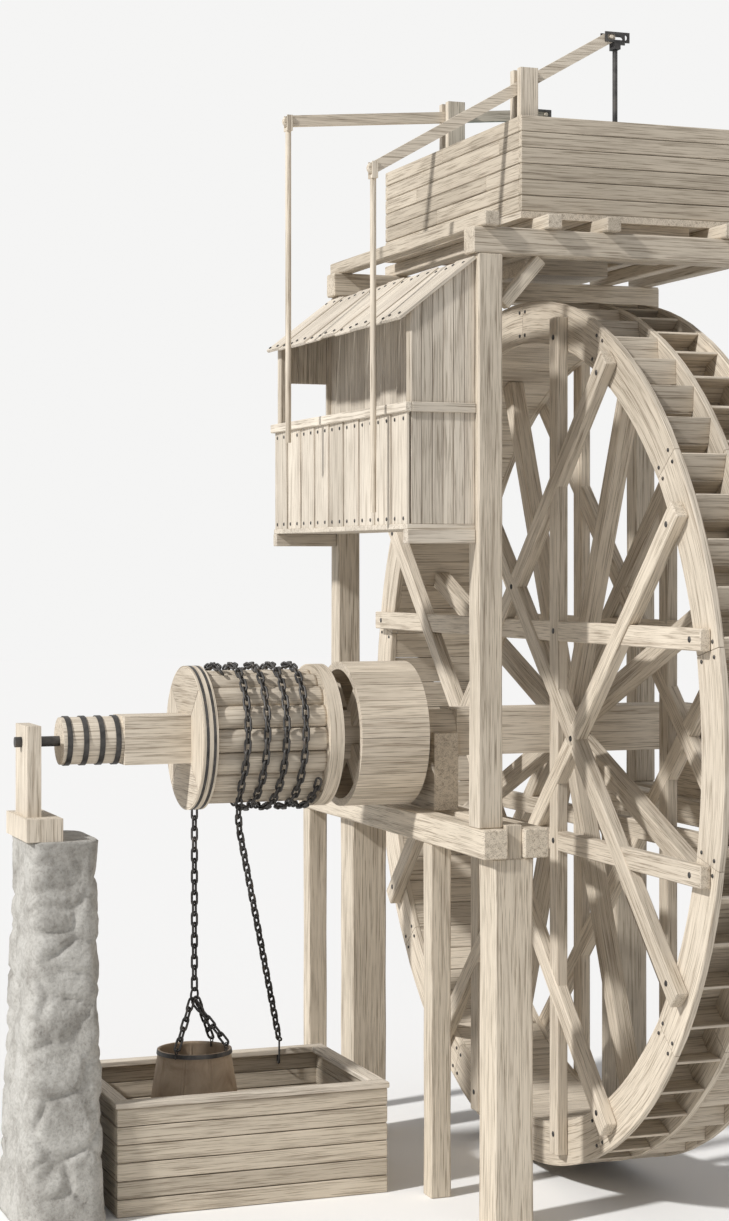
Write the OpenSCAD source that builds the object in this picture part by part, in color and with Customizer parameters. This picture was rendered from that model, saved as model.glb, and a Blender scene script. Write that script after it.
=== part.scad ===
// Reversible overshot water wheel with hoisting drum, overhead tank and operator's cabin.
// X runs along the axle, Y across the wheel pit, Z up. The ground is at Z = 0.

/* [Wheel] */
// Outer diameter of the wheel
wheel_d = 10600; // [9600:100:11000]
// Height of the wheel's rim above the ground
wheel_clear = 150; // [100:10:400]
// Radial depth of the rim boards
rim_depth = 520; // [420:10:600]
// Thickness of a rim board
rim_t = 80; // [60:5:100]
// Clear width of one bucket row
row_w = 540; // [460:10:600]
// Thickness of the sole boards behind the buckets
sole_t = 50; // [40:5:60]
// Number of buckets in one row
bucket_n = 60; // [40:2:72]
// Thickness of a bucket board
bucket_t = 32; // [25:1:40]
// Number of felloe boards in one rim
felloe_n = 14; // [12:2:18]
// Depth of a wheel arm along the axle
arm_t = 130; // [100:5:150]
// Width of a wheel arm across its face
arm_w = 240; // [180:10:300]
// Distance of the arms from the axle's middle
arm_off = 1250; // [1000:10:1400]
// Step between the faces of arms that cross
arm_lap = 20; // [10:5:30]

/* [Axle] */
// Side of the square axle
axle_w = 560; // [480:10:600]
// Radius of the axle's round necks
neck_r = 270; // [220:5:290]
// Radius of the iron gudgeons
gudgeon_r = 60; // [45:1:80]
// Running gap in a bearing
bearing_gap = 0.5; // [0.3:0.1:1]
// Left end of the axle's wood
axle_left = -6500; // [-6800:10:-6400]
// Length of the hooped round left end
round_len = 750; // [600:10:850]
// Length of a gudgeon outside the wood
gudgeon_len = 520; // [500:10:560]

/* [Drum] */
// Radius over the drum's staves
drum_r = 790; // [700:10:840]
// Radius of the drum's heads
head_r = 850; // [780:10:880]
// Left face of the drum
drum_left = -5000; // [-5100:10:-4950]
// Thickness of the left head
head_t = 180; // [140:10:220]
// Length of the staves between the heads
stave_len = 1350; // [1200:10:1400]
// Number of half-round staves
stave_n = 16; // [12:1:20]
// Thickness of the right head
flange_t = 180; // [140:10:220]
// Gap between the drum and the brake drum
drum_gap = 210; // [160:10:230]
// Length of the brake drum
brake_len = 850; // [700:10:870]
// Radius of the brake drum
brake_r = 870; // [780:10:880]

/* [Trestle] */
// Side of the main pillars
pillar_w = 480; // [420:10:520]
// Distance of the main pillars from the axle's middle
pillar_y = 2400; // [2300:10:2500]
// Left trestle's place along the axle
trestle_x = -1900; // [-1950:10:-1880]
// Right trestle's place along the axle
trestle_right_x = 1900; // [1850:10:2100]
// Width of a bearer beam
bearer_w = 300; // [260:10:320]
// Height of a bearer beam
bearer_h = 330; // [280:10:380]
// Width of the pillar's tenon between the bearer beams
tenon_w = 200; // [160:10:240]
// Side of the short posts under the bearers
short_w = 260; // [200:10:300]
// Place of the inner short post
inner_y = -900; // [-1100:10:-700]
// Place of the outer short post
outer_y = 3650; // [3400:10:3800]
// Side of the upper posts
post_w = 300; // [260:10:330]

/* [Tank] */
// Clearance between the wheel and the top beams
top_gap = 250; // [200:10:500]
// Height of the top beams
beam_h = 300; // [240:10:340]
// Length of the tank along the axle
tank_len = 3300; // [3000:10:3500]
// Setback of the tank's sides from the middle of the pillars
tank_setback = 150; // [100:10:200]
// Height of the tank's walls
tank_h = 1100; // [900:10:1300]
// Thickness of the tank's walls
tank_t = 80; // [60:5:90]
// Thickness of the tank's floor
floor_t = 80; // [60:5:100]

/* [Levers] */
// Width of a pivot post along the axle
pivot_w = 220; // [180:10:260]
// Thickness of a pivot post
pivot_t = 100; // [80:5:110]
// Height of the levers' pivots above the tank
pivot_up = 420; // [380:10:460]
// Distance of the near lever from the tank's near face
near_inset = 350; // [300:10:450]
// Place of the back lever across the axle
back_lever_y = 350; // [200:10:500]
// Length of a lever's outer arm
outer_arm = 2150; // [2100:10:2250]
// Length of a lever's inner arm
inner_arm = 1250; // [1150:10:1350]
// Height of a lever's bar
lever_h = 130; // [100:5:150]
// Thickness of a lever's bar
lever_t = 90; // [70:5:100]
// Rise of the near lever towards the tank, in degrees
near_tilt = 30; // [26:1:32]
// Rise of the back lever towards the tank, in degrees
back_tilt = 5; // [3:1:8]
// Length of a pull rod
pull_len = 3900; // [3700:10:4000]
// Radius of a pull rod
pull_r = 35; // [28:1:40]
// Radius of the lever pins
pin_r = 20; // [15:1:25]

/* [Cabin] */
// Depth of the cabin's floor below the top beams
cabin_drop = 3050; // [2950:10:3100]
// Depth of the cabin along the axle
cabin_d = 820; // [760:10:840]
// Reach of the cabin beyond the middle of the pillars
cabin_reach = 50; // [30:5:80]
// Height of the cabin's breast wall
breast_h = 1250; // [1100:10:1350]
// Thickness of the cabin's boards
board_t = 50; // [40:5:60]
// Height of the breast rail
rail_h = 110; // [90:5:130]
// Height of the eaves above the cabin's floor
eaves_h = 2350; // [2250:10:2450]
// Side of the cabin's corner posts
stud_w = 110; // [90:5:130]

/* [Shaft box] */
// Length of the shaft box along the axle
box_len = 3300; // [3000:10:3400]
// Width of the shaft box across the axle
box_w = 2500; // [2300:10:2700]
// Height of the shaft box
box_h = 1250; // [1100:10:1300]
// Thickness of the box's planks
box_t = 90; // [70:5:110]
// Width of the coping plank on the box
coping_w = 190; // [160:10:220]
// Thickness of the coping plank
coping_t = 70; // [50:5:90]

/* [Chains] */
// Radius of a chain link's bar
link_r = 15; // [13:1:17]
// Pitch of the chain
link_pitch = 130; // [120:1:140]
// Place of the first turn on the drum
chain_x = -4500; // [-4530:5:-4480]
// Advance of the chain in one turn
chain_step = 235; // [215:5:240]
// Turns of the chain on the drum
chain_turns = 4; // [3:1:4]
// Clearance between the drum and the chain
chain_gap = 8; // [6:1:12]

/* [Bucket] */
// Radius of the bucket's mouth
mouth_r = 450; // [400:10:480]
// Radius of the bucket's bottom
bottom_r = 640; // [580:10:680]
// Height of the bucket
bucket_h = 1150; // [1000:10:1200]
// Thickness of the bucket's wall
hide_t = 25; // [20:1:30]
// Height of the bucket's bottom above the ground
bucket_z = 420; // [350:10:450]

/* [Pier] */
// Height of the rough stone pier
pier_h = 4350; // [4200:10:4400]
// Width of the pier's top along the axle
pier_w = 900; // [800:10:1000]
// Depth of the pier's top across the axle
pier_d = 1300; // [1200:10:1500]

/* [Hidden] */

fine = 64;
joint_gap = 0.6;
seat = 0.3;
wheel_r = wheel_d / 2;
axle_z = wheel_r + wheel_clear;
top_z = wheel_d + wheel_clear + top_gap;
cabin_z = top_z - cabin_drop;
cabin_w = 2 * (pillar_y + cabin_reach);
tank_w = 2 * (pillar_y - tank_setback);
near_lever_y = near_inset - tank_w / 2;
rim_in = wheel_r - rim_depth;
wheel_w = 3 * rim_t + 2 * row_w;
rim_x = [-wheel_w / 2, -rim_t / 2, wheel_w / 2 - rim_t];
drum_in = drum_left + head_t;
flange_left = drum_in + stave_len;
brake_left = flange_left + flange_t + drum_gap;
brake_right = brake_left + brake_len;
axle_right = trestle_right_x + bearer_w + 150;
bearer_top = axle_z - brake_r - 60;
bearer_z = bearer_top - bearer_h;
beam_top = top_z + beam_h;
joist_h = 160;
tank_z = beam_top + joist_h;
tank_top = tank_z + floor_t + tank_h;
pivot_z = tank_top + pivot_up;
cabin_right = trestle_x - tenon_w / 2 - post_w;
cabin_left = cabin_right - cabin_d;

// A bar of rectangular section from one point to another in a plane across the axle
module bar(a, b, w, x0, t) {
    d = b - a;
    translate([x0, a[0], a[1]]) rotate([atan2(d[1], d[0]), 0, 0])
        translate([0, 0, -w / 2]) cube([t, norm(d), w]);
}

// A disc or ring round the axle from x0, l long
module round_x(x0, l, r) {
    translate([x0, 0, axle_z]) rotate([0, 90, 0]) cylinder(r = r, h = l, $fn = fine);
}

// A square bar round the axle's middle
module square_x(x0, l, w) {
    translate([x0, -w / 2, axle_z - w / 2]) cube([l, w, w]);
}

tenon_up = 40;
// A left pillar with the tenon that rises between the bearer beams
module pillar(y) {
    translate([trestle_x - pillar_w / 2, y - pillar_w / 2, 0]) cube([pillar_w, pillar_w, bearer_z]);
    translate([trestle_x - tenon_w / 2, y - pillar_w / 2, bearer_z - 1])
        cube([tenon_w, pillar_w, bearer_h + tenon_up + 1]);
}

module main_pillars() {
    color("burlywood") for (y = [-pillar_y, pillar_y]) {
        pillar(y);
        translate([trestle_right_x - pillar_w / 2, y - pillar_w / 2, 0]) cube([pillar_w, pillar_w, bearer_z]);
    }
}

module short_posts() {
    color("tan") for (y = [inner_y, outer_y])
        translate([trestle_x - tenon_w / 2 - bearer_w + 20, y - short_w / 2, 0])
            cube([short_w, short_w, bearer_z]);
}

bearer_end = 60;
bearer_y = [-pillar_y - pillar_w / 2 - bearer_end, outer_y + short_w / 2 + 150];
right_bearer_y = pillar_y + pillar_w / 2 + bearer_end;
module bearer_beams() {
    color("wheat") {
        for (x = [trestle_x - tenon_w / 2 - bearer_w, trestle_x + tenon_w / 2])
            translate([x, bearer_y[0], bearer_z]) cube([bearer_w, bearer_y[1] - bearer_y[0], bearer_h]);
        for (x = [trestle_right_x - tenon_w / 2 - bearer_w, trestle_right_x + tenon_w / 2])
            translate([x, -right_bearer_y, bearer_z]) cube([bearer_w, 2 * right_bearer_y, bearer_h]);
    }
}

// A block with a half-round cradle that carries a round neck
module cradle(x0, l, w, z0, r) {
    difference() {
        translate([x0, -w / 2, z0]) cube([l, w, axle_z - z0]);
        round_x(x0 - 10, l + 20, r + bearing_gap);
    }
}

stand_w = 2 * neck_r + 260;
stand_l = tenon_w + 110;
left_stand_x = trestle_x - tenon_w / 2 + 10;
right_stand_x = trestle_right_x - tenon_w / 2 - 110;
module neck_bearings() {
    color("sienna") {
        cradle(left_stand_x, stand_l, stand_w, bearer_top, neck_r);
        cradle(right_stand_x, stand_l, stand_w, bearer_top, neck_r);
    }
}

module upper_posts() {
    color("burlywood") for (y = [-pillar_y, pillar_y]) {
        translate([trestle_x - tenon_w / 2 - post_w, y - post_w / 2, bearer_top])
            cube([post_w, post_w, top_z - bearer_top]);
        translate([trestle_right_x + tenon_w / 2, y - post_w / 2, bearer_top])
            cube([post_w, post_w, top_z - bearer_top]);
    }
}

beam_y = pillar_y + post_w / 2;
beam_end = 60;
top_beam_len = trestle_right_x + tenon_w / 2 + post_w - cabin_right + 2 * beam_end;
module top_beams() {
    color("burlywood") for (y = [-pillar_y, pillar_y])
        translate([cabin_right - beam_end, y - post_w / 2, top_z]) cube([top_beam_len, post_w, beam_h]);
}

// A slanted brace from a post up to a beam, in a plane along the axle
module knee(x0, x1, y, w) {
    drop = abs(x1 - x0);
    dir = sign(x1 - x0);
    translate([x0, y + w / 2, top_z - drop]) rotate([90, 0, 0]) linear_extrude(w)
        polygon([[0, 0], [dir * drop, drop], [dir * (drop - 1.4 * w), drop], [0, 1.4 * w]]);
}

knee_run = 620;
knee_w = 150;
module knee_braces() {
    color("tan") for (y = [-pillar_y, pillar_y]) {
        knee(cabin_right + post_w, cabin_right + post_w + knee_run, y, knee_w);
        knee(trestle_right_x + tenon_w / 2, trestle_right_x + tenon_w / 2 - knee_run, y, knee_w);
    }
}

joist_x = [cabin_right + 30, -1500, -760, 760, 1500, trestle_right_x + tenon_w / 2 + 90];
joist_w = 180;
joist_end = 120;
module tank_joists() {
    color("wheat") for (x = joist_x)
        translate([x, -beam_y - joist_end, beam_top]) cube([joist_w, 2 * (beam_y + joist_end), joist_h]);
}

tank_left = -tank_len / 2;
tank_front_y = -tank_w / 2;
pivot_x = tank_left + tank_t + pivot_w / 2;
gate_x = pivot_x + inner_arm * (cos(near_tilt) + cos(back_tilt)) / 2;
slot_half = inner_arm * (cos(back_tilt) - cos(near_tilt)) / 2;
hole_len = 360;
hole_w = 260;
floor_top = tank_z + floor_t;

module tank_floor() {
    color("peru") difference() {
        translate([tank_left, tank_front_y, tank_z]) cube([tank_len, tank_w, floor_t]);
        for (y = [near_lever_y, back_lever_y])
            translate([gate_x - hole_len / 2, y - hole_w / 2, tank_z - 5])
                cube([hole_len, hole_w, floor_t + 10]);
    }
}

module tank_side(y) { translate([tank_left, y, floor_top]) cube([tank_len, tank_t, tank_h]); }

module tank_sides() {
    color("peru") for (y = [tank_front_y, -tank_front_y - tank_t]) tank_side(y);
}

module tank_ends() {
    color("burlywood") for (x = [tank_left, -tank_left - tank_t])
        translate([x, tank_front_y + tank_t, floor_top]) cube([tank_t, tank_w - 2 * tank_t, tank_h]);
}

chute_t = 40;
chute_drop = 330;
chute_x = gate_x - 260;
chute_len = wheel_w / 2 - rim_t - chute_x;
chute_reach = [-200, 700];
// A trough under a gate, from y0 to y1, open at the end over one bucket row
module chute(y0, y1, over) {
    depth = y1 - y0;
    translate([chute_x, y0, tank_z - chute_drop]) difference() {
        cube([chute_len, depth, chute_drop]);
        translate([chute_t, chute_t, chute_t])
            cube([chute_len - 2 * chute_t, depth - 2 * chute_t, chute_drop]);
        translate([over - row_w / 2 + 60 - chute_x, depth - 2 * chute_t, chute_t])
            cube([row_w - 120, 3 * chute_t, 160]);
    }
}

row_x = rim_t / 2 + row_w / 2;
module water_chutes() {
    color("tan") {
        chute(near_lever_y + chute_reach[0], near_lever_y + chute_reach[1], row_x);
        chute(back_lever_y + chute_reach[0], back_lever_y + chute_reach[1], -row_x);
    }
}

lever_gap = 8;
post_len = tank_h + pivot_up + 170;
module pivot_posts() {
    color("burlywood") for (y = [near_lever_y, back_lever_y]) {
        for (side = [-1, 1])
            translate([pivot_x, y + side * (lever_t / 2 + lever_gap + pivot_t / 2), floor_top + post_len / 2])
                cube([pivot_w, pivot_t, post_len], center = true);
        translate([pivot_x, y, pivot_z]) rotate([90, 0, 0])
            cylinder(r = pin_r, h = lever_t + 2 * lever_gap + 2, center = true, $fn = 32);
    }
}

// A lever's bar about its pivot, with its holes and its inner pin
module lever(y, tilt) {
    translate([pivot_x, y, pivot_z]) rotate([0, -tilt, 0]) {
        rotate([90, 0, 0]) linear_extrude(lever_t, center = true) difference() {
            union() {
                translate([-outer_arm, -lever_h / 2]) square([outer_arm + inner_arm, lever_h]);
                translate([-outer_arm, 0]) circle(r = lever_h / 2, $fn = 32);
                translate([inner_arm, 0]) circle(r = lever_h / 2, $fn = 32);
            }
            circle(r = pin_r + bearing_gap, $fn = 32);
            translate([-outer_arm, 0]) circle(r = pin_r + bearing_gap, $fn = 32);
        }
        translate([inner_arm, 0, 0]) rotate([90, 0, 0])
            cylinder(r = pin_r, h = lever_t + 2 * (cheek_gap + cheek_t) + 40, center = true, $fn = 32);
    }
}

cheek_t = 18;
cheek_gap = 8;
module near_lever() { color("burlywood") lever(near_lever_y, near_tilt); }

module back_lever() { color("burlywood") lever(back_lever_y, back_tilt); }

// A rod that hangs in a fork from a lever's outer end
module pull_rod(y, tilt) {
    fork = lever_h / 2 + 15;
    translate([pivot_x - outer_arm * cos(tilt), y, pivot_z - outer_arm * sin(tilt)]) {
        for (side = [-1, 1])
            translate([-pull_r, side * (lever_t / 2 + cheek_gap + cheek_t / 2) - cheek_t / 2, -fork - 40])
                cube([2 * pull_r, cheek_t, fork + 110]);
        translate([-pull_r, -lever_t / 2 - cheek_gap - 1, -fork - 40])
            cube([2 * pull_r, lever_t + 2 * cheek_gap + 2, 40]);
        rotate([90, 0, 0]) cylinder(r = pin_r, h = lever_t + 2 * cheek_gap + 2, center = true, $fn = 32);
        translate([0, 0, -pull_len]) cylinder(r = pull_r, h = pull_len - fork - 39, $fn = 24);
    }
}

module near_pull_rod() { color("wheat") pull_rod(near_lever_y, near_tilt); }

module back_pull_rod() { color("wheat") pull_rod(back_lever_y, back_tilt); }

// A lid on a rod that hangs in a slotted stirrup from a lever's inner end
module gate(y, tilt) {
    top = pivot_z + inner_arm * sin(tilt);
    lift = inner_arm * (sin(tilt) - sin(back_tilt));
    slot = slot_half + 15;
    lid_z = floor_top + 6 + lift;
    translate([gate_x, y, 0]) {
        for (side = [-1, 1])
            translate([0, side * (lever_t / 2 + cheek_gap + cheek_t / 2), top]) rotate([90, 0, 0])
                linear_extrude(cheek_t, center = true) difference() {
                    union() {
                        translate([-slot - 60, -60]) square([2 * slot + 120, 120]);
                        translate([-40, -140]) square([80, 100]);
                    }
                    translate([-slot, -pin_r - 12]) square([2 * slot, 2 * pin_r + 24]);
                    for (end = [-slot, slot]) translate([end, 0]) circle(r = pin_r + 12, $fn = 24);
                }
        translate([-40, -lever_t / 2 - cheek_gap - 1, top - 140])
            cube([80, lever_t + 2 * cheek_gap + 2, 35]);
        translate([0, 0, lid_z + 40]) cylinder(r = 30, h = top - 120 - lid_z - 40, $fn = 24);
        translate([-hole_len / 2 - 60, -hole_w / 2 - 60, lid_z]) cube([hole_len + 120, hole_w + 120, 60]);
    }
}

module near_gate() { color("slategray") gate(near_lever_y, near_tilt); }

module back_gate() { color("slategray") gate(back_lever_y, back_tilt); }

eaves_z = cabin_z + eaves_h;
ridge_z = top_z - 65;
overhang = 110;
cabin_y = cabin_w / 2;
cabin_floor_t = 60;
cabin_joist_w = 140;
cabin_joist_h = 160;
module cabin_floor() {
    color("tan") {
        translate([cabin_left, -cabin_y, cabin_z - cabin_floor_t]) cube([cabin_d, cabin_w, cabin_floor_t]);
        for (y = [-pillar_y, pillar_y])
            translate([cabin_left, y - cabin_joist_w / 2, cabin_z - cabin_floor_t - cabin_joist_h])
                cube([cabin_d, cabin_joist_w, cabin_joist_h]);
    }
}

rail_out = 35;
door_w = 520;
door_h = 1900;
door_x = cabin_right - board_t - door_w - 60;
module cabin_walls() {
    color("wheat") {
        translate([cabin_left, -cabin_y, cabin_z]) cube([board_t, cabin_w, breast_h]);
        translate([cabin_left - rail_out, -cabin_y - rail_out, cabin_z + breast_h])
            cube([board_t + rail_out, cabin_w + 2 * rail_out, rail_h]);
        translate([cabin_left, -cabin_y - rail_out, cabin_z + breast_h]) cube([cabin_d, rail_out, rail_h]);
        translate([cabin_left, cabin_y, cabin_z + breast_h]) cube([door_x - cabin_left, rail_out, rail_h]);
        translate([cabin_right - board_t, -cabin_y + board_t, cabin_z])
            cube([board_t, cabin_w - 2 * board_t, roof_z(cabin_right - board_t) - cabin_z]);
    }
}

// The roof's line at a place along the axle
function roof_z(x) = eaves_z + (ridge_z - eaves_z) * (x - cabin_left) / cabin_d;

module cabin_end(y, door) {
    translate([0, y, 0]) rotate([90, 0, 0]) linear_extrude(board_t, center = true) difference() {
        polygon([[cabin_left + board_t, cabin_z], [cabin_right, cabin_z], [cabin_right, roof_z(cabin_right)],
            [cabin_left + board_t, roof_z(cabin_left + board_t)]]);
        if (door) translate([door_x, cabin_z - 1]) square([door_w, door_h]);
    }
}

module cabin_ends() {
    color("tan") {
        cabin_end(-cabin_y + board_t / 2, false);
        cabin_end(cabin_y - board_t / 2, true);
    }
}

module cabin_studs() {
    color("burlywood") {
        for (y = [-cabin_y + board_t, cabin_y - board_t - stud_w])
            translate([cabin_left + board_t, y, cabin_z]) cube([stud_w, stud_w, eaves_h]);
        translate([cabin_left + board_t, -cabin_y + board_t, eaves_z])
            cube([stud_w, cabin_w - 2 * board_t, roof_z(cabin_left + board_t) - eaves_z]);
    }
}

roof_t = 45;
module cabin_roof() {
    slope = (ridge_z - eaves_z) / cabin_d;
    low = eaves_z - overhang * slope;
    color("wheat") translate([0, cabin_y + 60, 0]) rotate([90, 0, 0]) linear_extrude(cabin_w + 120)
        polygon([[cabin_left - overhang, low], [cabin_right - seat, ridge_z - seat * slope],
            [cabin_right - seat, ridge_z - seat * slope + roof_t], [cabin_left - overhang, low + roof_t]]);
}

box_x = -5950;
box_y = -550;
module shaft_box() {
    color("peru") difference() {
        translate([box_x, box_y, 0]) cube([box_len, box_w, box_h]);
        translate([box_x + box_t, box_y + box_t, -1])
            cube([box_len - 2 * box_t, box_w - 2 * box_t, box_h + 2]);
    }
}

module box_coping() {
    out = 20;
    color("wheat") translate([box_x - out, box_y - out, box_h]) difference() {
        cube([box_len + 2 * out, box_w + 2 * out, coping_t]);
        translate([coping_w, coping_w, -1])
            cube([box_len + 2 * out - 2 * coping_w, box_w + 2 * out - 2 * coping_w, coping_t + 2]);
    }
}

gudgeon_end = axle_left - gudgeon_len;
pier_left = 500;
pier_x = axle_left - pier_left;
batter_left = 150;
batter_right = 50;
batter_y = 250;
slice = 10;
module stone_pier() {
    color("gray") translate([pier_x, -pier_d / 2, 0]) hull() {
        translate([-batter_left, -batter_y, 0])
            cube([pier_w + batter_left + batter_right, pier_d + 2 * batter_y, slice]);
        translate([0, 0, pier_h - slice]) cube([pier_w, pier_d, slice]);
    }
}

sill_w = 420;
sill_h = 260;
sill_inset = 80;
plank_w = 660;
plank_t = 160;
plank_x = pier_x + 60;
plank_up = 200;
module left_bearing() {
    color("sienna") {
        translate([pier_x, -pier_d / 2 + sill_inset, pier_h]) cube([sill_w, pier_d - 2 * sill_inset, sill_h]);
        difference() {
            translate([plank_x, -plank_w / 2, pier_h + sill_h - 1])
                cube([plank_t, plank_w, axle_z + plank_up - pier_h - sill_h]);
            translate([pier_x, 0, axle_z]) rotate([0, 90, 0])
                cylinder(r = gudgeon_r + bearing_gap, h = sill_w, $fn = 48);
        }
    }
}

neck_len = 30;
round_r = axle_w / 2 - 5;
square_left = axle_left + round_len - 40;
module axle() {
    color("burlywood") {
        round_x(axle_left, round_len, round_r);
        difference() {
            square_x(square_left, axle_right - square_left, axle_w);
            for (x = [left_stand_x, right_stand_x])
                square_x(x - neck_len, stand_l + 2 * neck_len, axle_w + 2);
        }
        for (x = [left_stand_x, right_stand_x]) round_x(x - neck_len - 1, stand_l + 2 * neck_len + 2, neck_r);
    }
}

module gudgeon() {
    color("dimgray") round_x(gudgeon_end, gudgeon_len, gudgeon_r);
}

hoop_w = 60;
hoop_t = 14;
module axle_hoops() {
    color("dimgray") for (k = [0:3]) difference() {
        round_x(axle_left + 40 + k * 190, hoop_w, round_r + hoop_t);
        round_x(axle_left + 30 + k * 190, hoop_w + 20, round_r);
    }
}

// A head board round the square axle
module head(x0, t, r) {
    difference() {
        round_x(x0, t, r);
        square_x(x0 - 1, t + 2, axle_w);
    }
}

module drum_heads() {
    color("wheat") {
        head(drum_left, head_t, head_r);
        head(flange_left, flange_t, head_r);
    }
}

stave_r = PI * drum_r / stave_n - 3;
stave_in = drum_r - stave_r;
// One half-round stave, cut to a wedge between its neighbours
module stave() {
    half = 180 / stave_n - joint_gap / drum_r * 90 / PI;
    far = 1.2 * drum_r;
    linear_extrude(stave_len - 2 * seat) difference() {
        intersection() {
            translate([-stave_in, 0]) circle(r = stave_r, $fn = 48);
            polygon([[0, 0], far * [-1, tan(half)], far * [-1, -tan(half)]]);
        }
        circle(r = stave_in - 60, $fn = fine);
    }
}

module drum_staves() {
    color("burlywood") for (k = [0:stave_n - 1])
        translate([drum_in + seat, 0, axle_z]) rotate([k * 360 / stave_n, 0, 0]) rotate([0, 90, 0]) stave();
}

brake_t = 90;
cross_t = 100;
cross_w = 300;
cross_in = 60;
module brake_drum() {
    color("wheat") {
        difference() {
            round_x(brake_left, brake_len, brake_r);
            round_x(brake_left - 1, brake_len + 2, brake_r - brake_t);
        }
        for (x = [brake_left + cross_in, brake_right - cross_in - cross_t]) difference() {
            for (a = [45, 135]) translate([x, 0, axle_z]) rotate([a, 0, 0])
                cube([cross_t, 2 * (brake_r - brake_t) + 10, cross_w], center = true);
            square_x(x - cross_t, 2 * cross_t, axle_w);
        }
    }
}

// One board of a rim, from r0 to r1, in felloe_n boards to the ring
module felloe(k, x0, t, r0, r1) {
    turn = 360 / felloe_n;
    slit = joint_gap / r0 * 90 / PI;
    translate([x0, 0, axle_z]) rotate([k * turn, 0, 0]) rotate([0, 90, 0])
        rotate_extrude(angle = turn - 2 * slit, $fn = 128) translate([r0, 0]) square([r1 - r0, t]);
}

module rim(x0, r0) {
    for (k = [0:felloe_n - 1]) felloe(k, x0, rim_t, r0, wheel_r);
}

module left_rim() { color("wheat") rim(rim_x[0], rim_in); }

module middle_rim() { color("wheat") rim(rim_x[1], rim_in + sole_t + seat); }

module right_rim() { color("wheat") rim(rim_x[2], rim_in); }

module sole_boards() {
    color("tan") for (k = [0:felloe_n - 1])
        felloe(k + 0.5, -wheel_w / 2 + rim_t + seat, wheel_w - 2 * rim_t - 2 * seat, rim_in, rim_in + sole_t);
}

// A row of buckets, each a floor board and a slanted front board, turned to one hand
module bucket_row(x0, hand) {
    r0 = rim_in + sole_t + seat;
    floor_len = (rim_depth - sole_t) * 0.45;
    front_len = (rim_depth - sole_t) * 0.62;
    for (k = [0:bucket_n - 1]) translate([x0 + seat, 0, axle_z]) rotate([k * 360 / bucket_n, 0, 0]) {
        translate([0, -bucket_t / 2, r0 + 3]) cube([row_w - 2 * seat, bucket_t, floor_len]);
        translate([0, 0, r0 + 4 + floor_len]) rotate([-hand * 38, 0, 0])
            translate([0, -bucket_t / 2, bucket_t / 3]) cube([row_w - 2 * seat, bucket_t, front_len]);
    }
}

module left_buckets() { color("sandybrown") bucket_row(rim_x[0] + rim_t, 1); }

module right_buckets() { color("sandybrown") bucket_row(rim_x[1] + rim_t, -1); }

// Arms across one face of the wheel: two upright, two level and two pairs aslant
module face_arms(side) {
    reach = wheel_r - 150;
    chord = sqrt(reach * reach - arm_off * arm_off);
    for (pair = [[0, 0], [90, 1], [45, 2], [135, 2]])
        for (off = [-arm_off, arm_off])
            translate([side * wheel_w / 2, 0, axle_z]) rotate([pair[0], 0, 0])
                translate([side > 0 ? 0 : -arm_t - pair[1] * arm_lap / 2, -chord, off - arm_w / 2])
                    cube([arm_t + pair[1] * arm_lap / 2, 2 * chord, arm_w]);
}

module left_arms() { color("wheat") face_arms(-1); }

module right_arms() { color("wheat") face_arms(1); }

hub_w = 220;
// Arms through the axle that carry the sole from inside
module hub_arms() {
    color("tan") difference() {
        for (a = [22.5:45:180]) translate([0, 0, axle_z]) rotate([a, 0, 0])
            cube([hub_w, 2 * sqrt(pow(rim_in - seat, 2) - hub_w * hub_w / 4), hub_w], center = true);
        square_x(-hub_w, 2 * hub_w, axle_w);
    }
}

link_c = 2 * link_r + 5;
link_hole = link_c - link_r;
link_end = link_pitch / 2 - sqrt(link_hole * link_hole - link_r * link_r) + seat / 2;
// One chain link along X, about its middle: an oblong ring of square bar, longer at each end by play
module link(play = 0) {
    reach = link_end + play;
    linear_extrude(2 * link_r, center = true) difference() {
        union() {
            square([2 * reach, 2 * (link_c + link_r)], center = true);
            for (end = [-reach, reach]) translate([end, 0]) circle(r = link_c + link_r, $fn = 24);
        }
        square([2 * reach, 2 * link_hole], center = true);
        for (end = [-reach, reach]) translate([end, 0]) circle(r = link_hole, $fn = 48);
    }
}

link_slack = link_end + link_hole - link_pitch / 2;

// Turns what lies along X to lie along d, and keeps its Y square to the axle
module along(d) {
    rotate([atan2(d[1], -d[2]), 0, 0]) rotate([0, -90 - asin(d[0]), 0]) children();
}

// A straight run of n links from a along the direction d
module straight_chain(a, d, n, roll) {
    for (k = [0:n - 1])
        translate(a + d * (k + 0.5) * link_pitch) along(d) rotate([roll + 90 * k, 0, 0]) link();
}

turn_links = ceil(2 * PI * (drum_r + chain_gap + (link_c + 2 * link_r) * sqrt(0.5)) / link_pitch);
chain_r = link_pitch / 2 / tan(180 / turn_links);
leave_r = chain_r / cos(180 / turn_links);
// n links round the drum from angle a0, climbing or falling by hand, and advancing along the axle
module coil_chain(x0, a0, hand, n, step) {
    lean = atan(step / (2 * PI * chain_r));
    twist = abs(sin(lean)) * 360 / turn_links;
    play = sqrt(2) * link_r * tan(180 / turn_links) + link_r * tan(twist) + seat / 4;
    for (k = [0:n - 1]) {
        a = a0 + hand * (k + 0.5) * 360 / turn_links;
        translate([x0 + step * (k + 0.5) / turn_links, chain_r * cos(a), axle_z + chain_r * sin(a)])
            rotate([a, 0, 0]) rotate([0, -90 + hand * lean, 0]) rotate([45 + 90 * k, 0, 0]) link(play);
    }
}

leave_a = -145;
module wound_chain() {
    color("dimgray") coil_chain(chain_x, leave_a, -1, turn_links * chain_turns, chain_step);
}

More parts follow.
